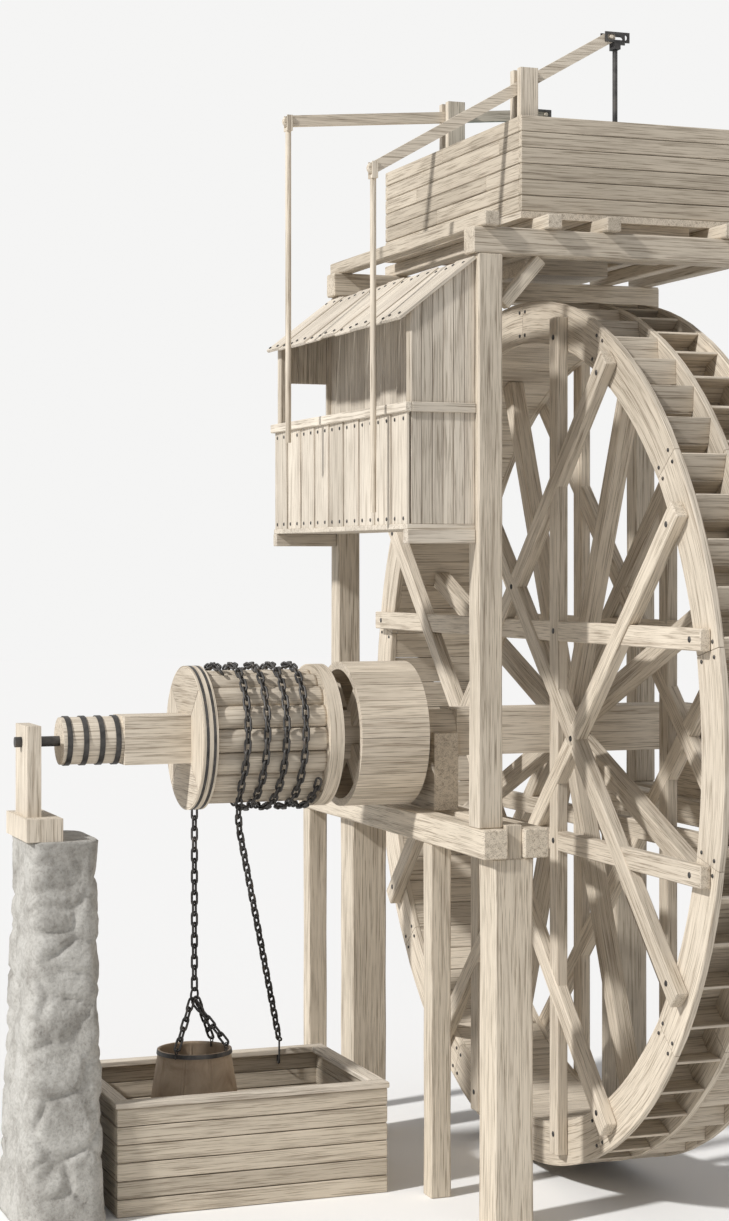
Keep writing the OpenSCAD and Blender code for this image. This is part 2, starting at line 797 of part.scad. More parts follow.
bucket_x = -4640;
bucket_top = bucket_z + bucket_h;
ring_c = 85;
ring_r = 14;
ring_in = sqrt(pow(ring_c - ring_r, 2) - link_r * link_r);
lug_hole = 28;
lug_t = 14;
lug_at = mouth_r - hide_t / 2;
sling_links = 5;
sling_start = ring_c - ring_in + seat - link_slack;
sling_span = sling_links * link_pitch - sling_start;
side_a = 50;
lug_slack = link_end + sqrt(link_hole * link_hole - lug_t * lug_t / 4) - link_pitch / 2;
side_reach = sling_span + lug_slack + sqrt(pow(lug_hole - seat, 2) - link_r * link_r);
lug_ease = 0.85 * (lug_hole - sqrt(lug_hole * lug_hole - link_r * link_r));
back_reach = sling_span + link_slack - lug_t * sqrt(0.5) - lug_ease - seat;

// How far a sling drops that starts at angle a on the ring and reaches a lug
function sling_fall(a, reach) = sqrt(reach * reach - pow(lug_at - ring_c * sin(a), 2));

lug_up = 35;
ring_z = bucket_top + lug_up + sling_fall(side_a, side_reach) + ring_c * cos(side_a);
chain_foot = ring_z + ring_in - seat + link_slack;
lift_links = floor((axle_z - chain_foot) / link_pitch);
bucket_up = axle_z - chain_foot - lift_links * link_pitch;
ring_turn = lift_links % 2 == 1 ? -45 : 45;

module lifting_chain() {
    color("dimgray") {
        coil_chain(bucket_x, 0, 1, 13, -30);
        straight_chain([bucket_x, leave_r, axle_z], [0, 0, -1], lift_links, 135);
    }
}

coping_top = box_h + coping_t;
coping_edge = box_y + box_w + 20 - coping_w;
hook_r = 12;
hook_bend = 32;
eye_c = 38;
eye_in = sqrt(pow(eye_c - hook_r, 2) - link_r * link_r);
hook_y = coping_edge - hook_r - seat;
hook_z = coping_top + 120;
hook_spare = 60;
leave = [chain_x, leave_r * cos(leave_a), axle_z + leave_r * sin(leave_a)];
hook_links = ceil((norm([hook_y - leave[1], hook_z - leave[2]]) + hook_spare) / link_pitch);
hook_line = hook_links * link_pitch + link_slack + eye_in - seat + eye_c;
coil_lean = atan(chain_step / (2 * PI * chain_r));
coil_dir = [-sin(coil_lean), -cos(coil_lean) * sin(leave_a), cos(coil_lean) * cos(leave_a)];
bend_n = 6;

function unit(v) = v / norm(v);
// The direction of link k in the bend between the drum and a straight run along d
function bend_dir(d, k) = unit(coil_dir * (bend_n - k) + d * (k + 1));
// How far the first n links of the bend lead away from a straight run along d
function bend_off(d, n) = n == 0 ? [0, 0, 0] : bend_off(d, n - 1) + link_pitch * (bend_dir(d, n - 1) - d);
function slant(y, z) = [sqrt(1 - y * y - z * z), y, z];
// The direction that still meets the hook after that much leading away
function aim(off) = slant((hook_y - leave[1] - off[1]) / hook_line, (hook_z - leave[2] - off[2]) / hook_line);
function run_dir(n) = n == 0 ? aim([0, 0, 0]) : aim(bend_off(run_dir(n - 1), bend_n));

run = run_dir(6);
hook_x = (leave + bend_off(run, bend_n) + run * hook_line)[0];
module hooked_chain() {
    ease = sqrt(2) * link_r * tan(acos(coil_dir * run) / 2 / (bend_n + 1));
    color("dimgray") {
        for (k = [0:bend_n - 1])
            translate(leave + bend_off(run, k) + run * k * link_pitch + bend_dir(run, k) * link_pitch / 2)
                along(bend_dir(run, k)) rotate([45 + 90 * k, 0, 0]) link(k == bend_n - 1 ? 2 * ease : ease);
        straight_chain(leave + bend_off(run, bend_n) + run * bend_n * link_pitch, run,
            hook_links - bend_n, 45 + 90 * bend_n);
    }
}

// A round bar of radius r bent into an arc of radius c about Z
module bent_bar(c, r, turn) {
    rotate_extrude(angle = turn, $fn = 32) translate([c, 0]) circle(r = r, $fn = 16);
}

module hook() {
    low = box_h - hook_bend - hook_r - 30;
    color("dimgray") {
        translate([hook_x, hook_y, hook_z] - eye_c * run) along(run)
            rotate([45 + 90 * hook_links, 0, 0]) bent_bar(eye_c, hook_r, 360);
        translate([hook_x, hook_y, 0]) {
            translate([0, 0, low]) cylinder(r = hook_r, h = hook_z - low, $fn = 16);
            translate([0, 0, hook_z]) sphere(r = hook_r, $fn = 16);
            translate([0, hook_bend, low])
                rotate([0, 90, 0]) rotate([0, 0, -90]) bent_bar(hook_bend, hook_r, 180);
            translate([0, 2 * hook_bend, low]) cylinder(r = hook_r, h = box_h - seat - low, $fn = 16);
        }
    }
}

// A lug on the bucket's rim with its hole at height up, in the sling's plane or across it
module lug(up, across) {
    lug_r = lug_hole + lug_t;
    translate([lug_at, 0, 0]) rotate([90, 0, across ? 90 : 0]) linear_extrude(lug_t, center = true)
        difference() {
            union() {
                translate([0, up]) circle(r = lug_r, $fn = 32);
                translate([-lug_r, bucket_top - 60]) square([2 * lug_r, up - bucket_top + 60]);
            }
            translate([0, up]) circle(r = lug_hole, $fn = 32);
        }
}

back_up = ring_z - ring_c - sling_fall(0, back_reach) - lug_hole - lug_t / 2;
module bucket() {
    color("saddlebrown") translate([bucket_x, leave_r, bucket_up]) {
        difference() {
            translate([0, 0, bucket_z]) cylinder(r1 = bottom_r, r2 = mouth_r, h = bucket_h, $fn = 48);
            translate([0, 0, bucket_z + hide_t])
                cylinder(r1 = bottom_r - hide_t, r2 = mouth_r - hide_t, h = bucket_h - hide_t + 0.1,
                    $fn = 48);
        }
        for (turn = [0, 180]) rotate([0, 0, ring_turn + turn]) lug(bucket_top + lug_up, false);
        rotate([0, 0, ring_turn - 90]) lug(back_up, true);
    }
}

// A sling from angle a on the ring to a lug, with its first link rolled
module sling(a, reach, roll) {
    from = [ring_c * sin(a), 0, ring_z - ring_c * cos(a)];
    d = [lug_at - from[0], 0, -sling_fall(a, reach)] / reach;
    straight_chain(from - sling_start * d, d, sling_links, roll);
}

module bucket_slings() {
    color("dimgray") translate([bucket_x, leave_r, bucket_up]) {
        translate([0, 0, ring_z]) rotate([90, 0, ring_turn]) bent_bar(ring_c, ring_r, 360);
        for (turn = [0, 180]) rotate([0, 0, ring_turn + turn]) sling(side_a, side_reach, 0);
        rotate([0, 0, ring_turn - 90]) sling(0, back_reach, 90);
    }
}

main_pillars();
short_posts();
bearer_beams();
neck_bearings();
upper_posts();
top_beams();
knee_braces();
tank_floor();
tank_sides();
tank_ends();
tank_joists();
water_chutes();
pivot_posts();
near_lever();
back_lever();
near_pull_rod();
back_pull_rod();
near_gate();
back_gate();
cabin_floor();
cabin_walls();
cabin_ends();
cabin_studs();
cabin_roof();
shaft_box();
box_coping();
stone_pier();
left_bearing();
axle();
gudgeon();
axle_hoops();
drum_heads();
drum_staves();
brake_drum();
left_rim();
middle_rim();
right_rim();
sole_boards();
left_buckets();
right_buckets();
left_arms();
right_arms();
hub_arms();
wound_chain();
lifting_chain();
hooked_chain();
hook();
bucket();
bucket_slings();
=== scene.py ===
import bpy
import math
import random
from mathutils import Vector, Matrix, noise as rock_noise


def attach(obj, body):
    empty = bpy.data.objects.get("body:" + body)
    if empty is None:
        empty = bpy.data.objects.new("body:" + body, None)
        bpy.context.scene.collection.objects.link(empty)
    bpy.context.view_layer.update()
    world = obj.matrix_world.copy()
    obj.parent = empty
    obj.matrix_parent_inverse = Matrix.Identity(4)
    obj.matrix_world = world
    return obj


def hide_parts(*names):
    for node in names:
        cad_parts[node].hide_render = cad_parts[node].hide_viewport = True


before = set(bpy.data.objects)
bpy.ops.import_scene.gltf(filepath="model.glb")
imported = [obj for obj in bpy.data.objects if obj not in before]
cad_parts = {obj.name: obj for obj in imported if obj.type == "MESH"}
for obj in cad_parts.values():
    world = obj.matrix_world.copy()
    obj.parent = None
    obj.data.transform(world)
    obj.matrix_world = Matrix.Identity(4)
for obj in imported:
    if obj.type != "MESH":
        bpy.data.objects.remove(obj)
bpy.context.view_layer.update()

rnd = random.Random(1556)
V = Vector
X, Y, Z = V((1, 0, 0)), V((0, 1, 0)), V((0, 0, 1))
FULL = 2 * math.pi

# Sizes of the wheel, in metres as all sizes here
wheel_r, axle_z, axle_w = 5.3, 5.45, 0.56
rim_in, rim_t, row_w, sole_t = 4.78, 0.08, 0.54, 0.05
wheel_w = 3 * rim_t + 2 * row_w
rim_x = (-wheel_w / 2, -rim_t / 2, wheel_w / 2 - rim_t)
seat = 0.0003  # the least gap between two pieces that meet

# Sizes of the trestles and of the tank
trestle_x, pillar_y, pillar_w, tenon_w = 1.9, 2.4, 0.48, 0.2
bearer_z, bearer_h, bearer_w, bearer_x, bearer_end = 4.19, 0.33, 0.3, (1.65, 2.15), 2.7
short_x, short_y, short_w = -2.15, (-0.9, 3.65), 0.26
post_x, post_w = 2.15, 0.3
top_z, beam_h, beam_reach = 11.0, 0.3, 2.36
joist_x, joist_w, joist_h, joist_reach = (-2.27, -1.5, -0.76, 0.76, 1.5, 2.09), 0.18, 0.16, 2.67
tank_z, floor_t, tank_h, tank_t, tank_x, tank_y = 11.46, 0.08, 1.1, 0.08, 1.65, 2.25

# Sizes of the cabin and of the shaft's box
cabin_z, cabin_right, cabin_d, cabin_y = 7.95, -2.3, 0.82, 2.45
cabin_left = cabin_right - cabin_d
breast_h, rail_h, eaves_z, ridge_z, eaves_out = 1.25, 0.11, 10.3, 10.935, 0.11
board_t, stud_w, door_w, door_h = 0.05, 0.11, 0.52, 1.9
box_x, box_y, box_l, box_w, box_h, box_t = -5.95, -0.55, 3.3, 2.5, 1.25, 0.09
coping_w, coping_t, coping_out = 0.19, 0.07, 0.02

# Sizes of the two drums
drum_x, head_t, stave_l, flange_x, drum_r, head_r = -5.0, 0.18, 1.35, -3.47, 0.79, 0.85
brake_x, brake_len, brake_r, brake_t = -3.08, 0.85, 0.87, 0.09


class Stock:
    """A mesh under construction, with the grain's place and the board's tone at each point"""
    def __init__(self, name):
        self.name = name
        self.verts, self.faces, self.grain, self.tones, self.smooth = [], [], [], [], []

    def sweep(self, rings, closed=False, tone=None, smooth=False):
        """A skin over rings of (points, distance along, places across the grain)"""
        tone = rnd.random() if tone is None else tone
        off = grain_offset()
        n = len(rings[0][0])
        first = len(self.verts)
        for points, along, across in rings:
            for p, (a, b) in zip(points, across):
                self.verts.append(p)
                self.grain.append((along + off.x, a + off.y, b + off.z))
                self.tones.append(tone)
        m = len(rings)
        for i in range(m if closed else m - 1):
            here, there = first + i * n, first + ((i + 1) % m) * n
            for j in range(n):
                k = (j + 1) % n
                self.faces.append((here + j, here + k, there + k, there + j))
                self.smooth.append(smooth)
        if not closed:
            self.faces.append(tuple(first + n - 1 - j for j in range(n)))
            self.faces.append(tuple(first + (m - 1) * n + j for j in range(n)))
            self.smooth += [False, False]

    def strip(self, frames, w, t, chamfer=0.006, tone=None):
        """A board along frames of (origin, across, through, share of chamfer), w wide and t thick"""
        hw, ht = w / 2, t / 2
        ch = min(chamfer, hw * 0.45, ht * 0.45)
        rings, along, last = [], 0.0, None
        for origin, across, through, share in frames:
            if last is not None:
                along += (origin - last).length
            last = origin
            ka = (hw - ch * share) / hw
            kb = (ht - ch * share) / ht
            section = [(a * ka, b * kb) for a, b in eight_sided(hw, ht, ch)]
            rings.append(([origin + across * a + through * b for a, b in section], along, section))
        self.sweep(rings, tone=tone)

    def plank(self, start, end, across, w, t, chamfer=0.006, rough=0.0, cuts=0):
        """A straight board; rough is how much its edges vary at each of its cuts"""
        start, end = V(start), V(end)
        length = (end - start).length
        d = (end - start) / length
        u = (V(across) - d * V(across).dot(d)).normalized()
        v = d.cross(u)
        c = min(chamfer, length * 0.2)
        stations = [(0, 1), (c, 0)]
        for i in range(cuts):
            stations.append((c + (length - 2 * c) * (i + 1) / (cuts + 1), rnd.random() * rough))
        stations += [(length - c, 0), (length, 1)]
        self.strip([(start + d * s, u, v, share) for s, share in stations], w, t, chamfer)

    def slat(self, x0, x1, y, t, foot, top):
        """An upright board from x0 to x1, t thick, cut at the top along the line top(x)"""
        ch, trim = 0.004, 0.0005
        mid, hw, ht = (x0 + x1) / 2, (x1 - x0) / 2, t / 2
        section = [(-hw, -ht + ch), (-hw, ht - ch), (-hw + ch, ht), (hw - ch, ht),
                   (hw, ht - ch), (hw, -ht + ch), (hw - ch, -ht), (-hw + ch, -ht)]
        rings = []
        for rise, share in ((0, 1), (ch, 0), (-ch, 0), (-trim, 1)):
            points = []
            for a, b in section:
                a, b = a * (1 - ch * share / hw), b * (1 - ch * share / ht)
                z = foot + rise if rise >= 0 else top(mid + a) + rise
                points.append(V((mid + a, y + b, z)))
            rings.append((points, points[0].z, section))
        self.sweep(rings)

    def rod(self, start, end, r, n, dome):
        """A peg or nail of n sides with a domed head that stands dome high over its end"""
        start, end = V(start), V(end)
        d = (end - start).normalized()
        u = d.orthogonal().normalized()
        v = d.cross(u)
        rings, along, last = [], 0.0, None
        domed = [(end + d * dome * 0.7, r * 0.7), (end + d * dome, r * 0.15)]
        for origin, q in [(start, r), (end, r)] + domed:
            if last is not None:
                along += (origin - last).length
            last = origin
            section = circle(q, n)
            rings.append(([origin + u * a + v * b for a, b in section], along, section))
        self.sweep(rings, smooth=True)

    def tube(self, path, r, n, plane, tone=None):
        """A closed round bar along path; plane is a vector that is never along it"""
        rings, along = [], 0.0
        m = len(path)
        for i, origin in enumerate(path):
            before, after = path[(i - 1) % m], path[(i + 1) % m]
            d = (after - before).normalized()
            u = plane.cross(d).normalized()
            v = d.cross(u)
            section = circle(r, n)
            rings.append(([origin + u * a + v * b for a, b in section], along, section))
            along += (after - before).length / 2
        self.sweep(rings, closed=True, smooth=True, tone=tone)

    def make(self, material, body, replaces=()):
        """The finished piece, which rides on body and stands for the CAD nodes in replaces"""
        mesh = bpy.data.meshes.new(self.name)
        mesh.from_pydata([tuple(p) for p in self.verts], [], self.faces)
        grain = mesh.attributes.new("grain", "FLOAT_VECTOR", "POINT")
        grain.data.foreach_set("vector", [c for p in self.grain for c in p])
        tones = mesh.attributes.new("tone", "FLOAT", "POINT")
        tones.data.foreach_set("value", self.tones)
        mesh.polygons.foreach_set("use_smooth", self.smooth)
        mesh.materials.append(material)
        ob = bpy.data.objects.new(self.name, mesh)
        bpy.context.scene.collection.objects.link(ob)
        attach(ob, body)
        if replaces:
            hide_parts(*replaces)


def grain_offset():
    """A place in the grain of its own for each board"""
    return V((rnd.uniform(0, 40), rnd.uniform(0, 40), rnd.uniform(0, 40)))


def eight_sided(hw, ht, ch):
    """A board's section with its four edges cut off by ch"""
    return [(hw, -ht + ch), (hw, ht - ch), (hw - ch, ht), (-hw + ch, ht),
            (-hw, ht - ch), (-hw, -ht + ch), (-hw + ch, -ht), (hw - ch, -ht)]


def circle(r, n):
    return [(r * math.cos(FULL * j / n), r * math.sin(FULL * j / n)) for j in range(n)]


# Materials
def new_mat(name):
    m = bpy.data.materials.new(name)
    m.use_nodes = True
    return m, m.node_tree, m.node_tree.nodes["Principled BSDF"]


def ramp(nt, fac, stops):
    r = nt.nodes.new("ShaderNodeValToRGB")
    elements = r.color_ramp.elements
    while len(elements) < len(stops):
        elements.new(0.5)
    for element, (position, colour) in zip(elements, stops):
        element.position, element.color = position, (*colour, 1)
    nt.links.new(fac, r.inputs["Fac"])
    return r.outputs["Color"]


def noise(nt, vec, scale, detail, rough, distort=0.0):
    n = nt.nodes.new("ShaderNodeTexNoise")
    n.inputs["Scale"].default_value = scale
    n.inputs["Detail"].default_value = detail
    n.inputs["Roughness"].default_value = rough
    n.inputs["Distortion"].default_value = distort
    nt.links.new(vec, n.inputs["Vector"])
    return n.outputs["Fac"]


def mapped(nt, vec, scale):
    m = nt.nodes.new("ShaderNodeMapping")
    m.inputs["Scale"].default_value = scale
    nt.links.new(vec, m.inputs["Vector"])
    return m.outputs["Vector"]


def multiply(nt, strength, a, b):
    m = nt.nodes.new("ShaderNodeMix")
    m.data_type, m.blend_type = "RGBA", "MULTIPLY"
    m.inputs[0].default_value = strength
    nt.links.new(a, m.inputs[6])
    nt.links.new(b, m.inputs[7])
    return m.outputs[2]


def in_object(nt):
    return nt.nodes.new("ShaderNodeTexCoord").outputs["Object"]


def attribute(nt, name, output):
    at = nt.nodes.new("ShaderNodeAttribute")
    at.attribute_name = name
    return at.outputs[output]


def rough_between(nt, bsdf, fac, low, high):
    span = nt.nodes.new("ShaderNodeMapRange")
    span.inputs["To Min"].default_value, span.inputs["To Max"].default_value = low, high
    nt.links.new(fac, span.inputs["Value"])
    nt.links.new(span.outputs["Result"], bsdf.inputs["Roughness"])


def bump(nt, bsdf, height, strength, distance, below=None):
    """A bump on the surface, over an earlier bump where below is given"""
    b = nt.nodes.new("ShaderNodeBump")
    b.inputs["Strength"].default_value, b.inputs["Distance"].default_value = strength, distance
    nt.links.new(height, b.inputs["Height"])
    if below is not None:
        nt.links.new(below, b.inputs["Normal"])
    nt.links.new(b.outputs["Normal"], bsdf.inputs["Normal"])
    return b.outputs["Normal"]


def timber(name, pale, dark, grain_axis=None):
    """Weathered timber: streaks along the board, fine lines, patches and a tone for each board.
    Where grain_axis is given, the grain runs along that axis and the boards have no tones."""
    m, nt, bsdf = new_mat(name)
    vec = attribute(nt, "grain", "Vector") if grain_axis is None else in_object(nt)
    long_way = grain_axis or 0
    stretch, fine = [20.0] * 3, [95.0] * 3
    stretch[long_way], fine[long_way] = 0.9, 1.8
    streak = noise(nt, mapped(nt, vec, stretch), 1.0, 5.0, 0.6, 0.35)
    line = noise(nt, mapped(nt, vec, fine), 1.0, 3.0, 0.55, 0.15)
    col = ramp(nt, streak, [(0.27, dark), (0.48, pale), (0.80, tuple(min(1, c * 1.1) for c in pale))])
    shade = ramp(nt, line, [(0.38, (0.46, 0.43, 0.39)), (0.46, (0.94, 0.93, 0.92)), (0.7, (1, 1, 1))])
    col = multiply(nt, 0.85, col, shade)
    patch = noise(nt, in_object(nt), 0.7, 4.0, 0.6)
    col = multiply(nt, 0.45, col, ramp(nt, patch, [(0.32, (0.70, 0.69, 0.67)), (0.62, (1, 1, 1))]))
    if grain_axis is None:
        tones = [(0.0, (0.78, 0.77, 0.755)), (0.5, (0.94, 0.935, 0.93)), (1.0, (1.0, 0.995, 0.985))]
        col = multiply(nt, 1.0, col, ramp(nt, attribute(nt, "tone", "Fac"), tones))
    nt.links.new(col, bsdf.inputs["Base Color"])
    rough_between(nt, bsdf, streak, 0.72, 0.92)
    coarse = bump(nt, bsdf, streak, 0.5, 0.008)
    bump(nt, bsdf, line, 0.45, 0.003, coarse)
    return m


def iron():
    """Forged iron, dark with browner patches"""
    m, nt, bsdf = new_mat("iron")
    vec = in_object(nt)
    big = noise(nt, vec, 7.0, 5.0, 0.6)
    small = noise(nt, vec, 60.0, 4.0, 0.6)
    stops = [(0.35, (0.045, 0.043, 0.042)), (0.6, (0.10, 0.095, 0.09)), (0.8, (0.17, 0.13, 0.10))]
    col = ramp(nt, big, stops)
    nt.links.new(col, bsdf.inputs["Base Color"])
    bsdf.inputs["Metallic"].default_value = 0.75
    rough_between(nt, bsdf, big, 0.38, 0.68)
    bump(nt, bsdf, small, 0.4, 0.003)
    return m


def stone():
    m, nt, bsdf = new_mat("stone")
    vec = in_object(nt)
    big = noise(nt, vec, 2.5, 6.0, 0.65, 0.3)
    small = noise(nt, vec, 26.0, 6.0, 0.7)
    col = ramp(nt, big, [(0.3, (0.33, 0.31, 0.28)), (0.55, (0.56, 0.54, 0.50)), (0.8, (0.66, 0.64, 0.6))])
    col = multiply(nt, 0.6, col, ramp(nt, small, [(0.35, (0.55, 0.54, 0.52)), (0.55, (1, 1, 1))]))
    tones = [(0.0, (0.74, 0.73, 0.71)), (1.0, (1.0, 1.0, 0.99))]
    col = multiply(nt, 1.0, col, ramp(nt, attribute(nt, "tone", "Fac"), tones))
    nt.links.new(col, bsdf.inputs["Base Color"])
    bsdf.inputs["Roughness"].default_value = 0.93
    bump(nt, bsdf, small, 0.7, 0.02)
    return m


def hide():
    """Ox hide, with the fine cells of leather"""
    m, nt, bsdf = new_mat("hide")
    vec = in_object(nt)
    big = noise(nt, vec, 3.0, 5.0, 0.6, 0.5)
    cells = nt.nodes.new("ShaderNodeTexVoronoi")
    cells.inputs["Scale"].default_value = 90.0
    nt.links.new(vec, cells.inputs["Vector"])
    stops = [(0.3, (0.33, 0.235, 0.155)), (0.55, (0.52, 0.40, 0.28)), (0.8, (0.63, 0.51, 0.375))]
    col = ramp(nt, big, stops)
    nt.links.new(col, bsdf.inputs["Base Color"])
    bsdf.inputs["Roughness"].default_value = 0.62
    bump(nt, bsdf, cells.outputs["Distance"], 0.25, 0.003)
    return m


def water():
    m, nt, bsdf = new_mat("tank_water")
    wave = noise(nt, in_object(nt), 2.2, 3.0, 0.5, 0.4)
    col = ramp(nt, wave, [(0.3, (0.16, 0.24, 0.25)), (0.7, (0.25, 0.34, 0.34))])
    nt.links.new(col, bsdf.inputs["Base Color"])
    bsdf.inputs["Roughness"].default_value = 0.06
    bsdf.inputs["IOR"].default_value = 1.33
    bump(nt, bsdf, wave, 0.3, 0.03)
    return m


PALE, DARK = (0.74, 0.655, 0.535), (0.43, 0.355, 0.27)
m_post = timber("post_timber", (0.69, 0.61, 0.495), (0.38, 0.315, 0.24))
m_wheel = timber("wheel_timber", PALE, DARK)
m_plank = timber("plank_timber", (0.66, 0.58, 0.465), (0.36, 0.30, 0.225))
m_board = timber("board_timber", (0.77, 0.695, 0.585), (0.46, 0.39, 0.31))
m_axis = [timber("timber_along_" + "xyz"[i], PALE, DARK, i) for i in range(3)]
m_iron, m_stone, m_hide, m_water = iron(), stone(), hide(), water()

# The trestles and the frame
st = Stock("pillars")
for y in (-pillar_y, pillar_y):
    st.plank((-trestle_x, y, 0), (-trestle_x, y, bearer_z), X, pillar_w, pillar_w, 0.02, rough=0.5, cuts=5)
    st.plank((-trestle_x, y, bearer_z - 0.05), (-trestle_x, y, bearer_z + bearer_h + 0.04),
             X, tenon_w - 0.002, pillar_w - 0.03, 0.008)
    st.plank((trestle_x, y, 0), (trestle_x, y, bearer_z), X, pillar_w, pillar_w, 0.02, rough=0.5, cuts=5)
st.make(m_post, "frame", ["main_pillars"])

st = Stock("small_posts")
for y in short_y:
    st.plank((short_x, y, 0), (short_x, y, bearer_z), X, short_w, short_w, 0.015, rough=0.4, cuts=4)
st.make(m_post, "frame", ["short_posts"])

st = Stock("bearers")
z = bearer_z + bearer_h / 2
left_bearer_end = 3.93  # the left bearers reach past the outer short post
for x in (-bearer_x[1], -bearer_x[0]):
    st.plank((x, -bearer_end, z), (x, left_bearer_end, z), X, bearer_w, bearer_h, 0.015, rough=0.4, cuts=6)
for x in bearer_x:
    st.plank((x, -bearer_end, z), (x, bearer_end, z), X, bearer_w, bearer_h, 0.015, rough=0.4, cuts=5)
st.make(m_post, "frame", ["bearer_beams"])

st = Stock("upper_frame")
for x in (-post_x, post_x):
    for y in (-pillar_y, pillar_y):
        st.plank((x, y, bearer_z + bearer_h), (x, y, top_z), X, post_w, post_w, 0.015, rough=0.4, cuts=7)
st.make(m_post, "frame", ["upper_posts"])

st = Stock("beams_on_top")
z = top_z + beam_h / 2
for y in (-pillar_y, pillar_y):
    st.plank((-beam_reach, y, z), (beam_reach, y, z), Y, post_w, beam_h, 0.015, rough=0.4, cuts=6)
st.make(m_post, "frame", ["top_beams"])

st = Stock("braces")
brace_run, brace_w, brace_t = 0.62, 0.148, 0.145
for y in (-pillar_y, pillar_y):
    for side in (1, -1):
        x = -side * (post_x - post_w / 2)
        foot = (x + side * 0.05, y, top_z - brace_run + 0.06)
        head = (x + side * (brace_run - 0.11), y, top_z - 0.03)
        st.plank(foot, head, Y, brace_w, brace_t, 0.01)
st.make(m_post, "frame", ["knee_braces"])

# The tank
st = Stock("joists")
z = top_z + beam_h + joist_h / 2
for x in joist_x:
    mid = x + joist_w / 2
    st.plank((mid, -joist_reach, z), (mid, joist_reach, z), X, joist_w, joist_h, 0.012, rough=0.3, cuts=5)
st.make(m_post, "frame", ["tank_joists"])

rows = 6  # of planks, on the tank and on the shaft's box alike
row_h = tank_h / rows
wall_z = tank_z + floor_t
row_gap, butt_gap = 0.006, 0.002
st = Stock("tank_side_planks")
for side in (-1, 1):
    y = side * (tank_y - tank_t / 2)
    for k in range(rows):
        z = wall_z + row_h * (k + 0.5)
        ends = [-tank_x, tank_x]
        if side > 0:
            ends.insert(1, -0.2 + 0.9 * ((k * 5) % 3 - 1))
        for a, b in zip(ends[:-1], ends[1:]):
            st.plank((a + butt_gap, y, z), (b - butt_gap, y, z), Z, row_h - row_gap, tank_t, 0.009,
                     rough=0.2, cuts=3)
st.make(m_plank, "frame", ["tank_sides"])

st = Stock("tank_end_planks")
end_butts = (-1.75, 0.4, -1.2, 1.1, -1.6, 0.2)
for side in (-1, 1):
    x = side * (tank_x - tank_t / 2)
    for k in range(rows):
        z = wall_z + row_h * (k + 0.5)
        for a, b in ((-tank_y + tank_t, end_butts[k]), (end_butts[k], tank_y - tank_t)):
            st.plank((x, a + butt_gap, z), (x, b - butt_gap, z), Z, row_h - row_gap, tank_t, 0.009,
                     rough=0.2, cuts=2)
st.make(m_plank, "frame", ["tank_ends"])

# Still water below the brim
nx, ny = 24, 32
half_x, half_y, level = tank_x - tank_t - 0.002, tank_y - tank_t - 0.002, wall_z + 0.93
st = Stock("water_surface")
for j in range(ny + 1):
    for i in range(nx + 1):
        x, y = -half_x + 2 * half_x * i / nx, -half_y + 2 * half_y * j / ny
        st.verts.append(V((x, y, level + 0.004 * math.sin(5 * x + 2 * y) * math.cos(4 * y - x))))
        st.grain.append((x, y, 0))
        st.tones.append(0.5)
for j in range(ny):
    for i in range(nx):
        a = j * (nx + 1) + i
        st.faces.append((a, a + 1, a + nx + 2, a + nx + 1))
        st.smooth.append(True)
st.make(m_water, "frame")

# The cabin
# Each front board stands proud of the next, so that its edge shows as a dark line
front_step, front_t, front_n, front_gap = 0.018, 0.03, 9, 0.012
st = Stock("cabin_front_boards")
front_w = 2 * cabin_y / front_n
lapped = V((front_step, front_w, 0)).normalized()
x = cabin_left + (front_step + front_t) / 2
for k in range(front_n):
    y = -cabin_y + front_w * (k + 0.5)
    st.plank((x, y, cabin_z), (x, y, cabin_z + breast_h), lapped, front_w - front_gap, front_t, 0.002,
             rough=0.2, cuts=2)
# The rail stands proud of the boards at the front and at both ends, as far as the doorway
rail_out, door_side = 0.035, 0.11
door_left = cabin_right - door_side - door_w
z = cabin_z + breast_h + rail_h / 2
x = cabin_left + (board_t - rail_out) / 2
st.plank((x, -cabin_y - rail_out, z), (x, cabin_y + rail_out, z), X, board_t + rail_out, rail_h, 0.01)
for side, end in ((-1, cabin_right), (1, door_left)):
    y = side * (cabin_y + rail_out / 2)
    st.plank((cabin_left + board_t, y, z), (end, y, z), Y, rail_out, rail_h, 0.008)
slope = (ridge_z - eaves_z) / cabin_d
back_n = 26
back_w = 2 * (cabin_y - board_t) / back_n
x = cabin_right - board_t / 2
for k in range(back_n):
    y = -cabin_y + board_t + back_w * (k + 0.5)
    st.plank((x, y, cabin_z), (x, y, ridge_z - board_t * slope), Y, back_w - 0.006, board_t - 0.002, 0.004)
st.make(m_board, "frame", ["cabin_walls"])


def eave(x):
    """Height of the roof's underside at x"""
    return eaves_z + slope * (x - cabin_left)


st = Stock("cabin_end_boards")
end_n, slit = 6, 0.003
end_w = (cabin_d - board_t) / end_n
near_cuts = [cabin_left + board_t + end_w * k for k in range(end_n + 1)]
far_cuts = [near_cuts[0]] + [door_left + door_w / 4 * k for k in range(5)] + [cabin_right]
for side, cuts in ((-1, near_cuts), (1, far_cuts)):
    for k in range(end_n):
        over_door = side > 0 and 0 < k < 5
        foot = cabin_z + door_h if over_door else cabin_z
        st.slat(cuts[k] + slit, cuts[k + 1] - slit, side * (cabin_y - board_t / 2), board_t, foot, eave)
st.make(m_board, "frame", ["cabin_ends"])

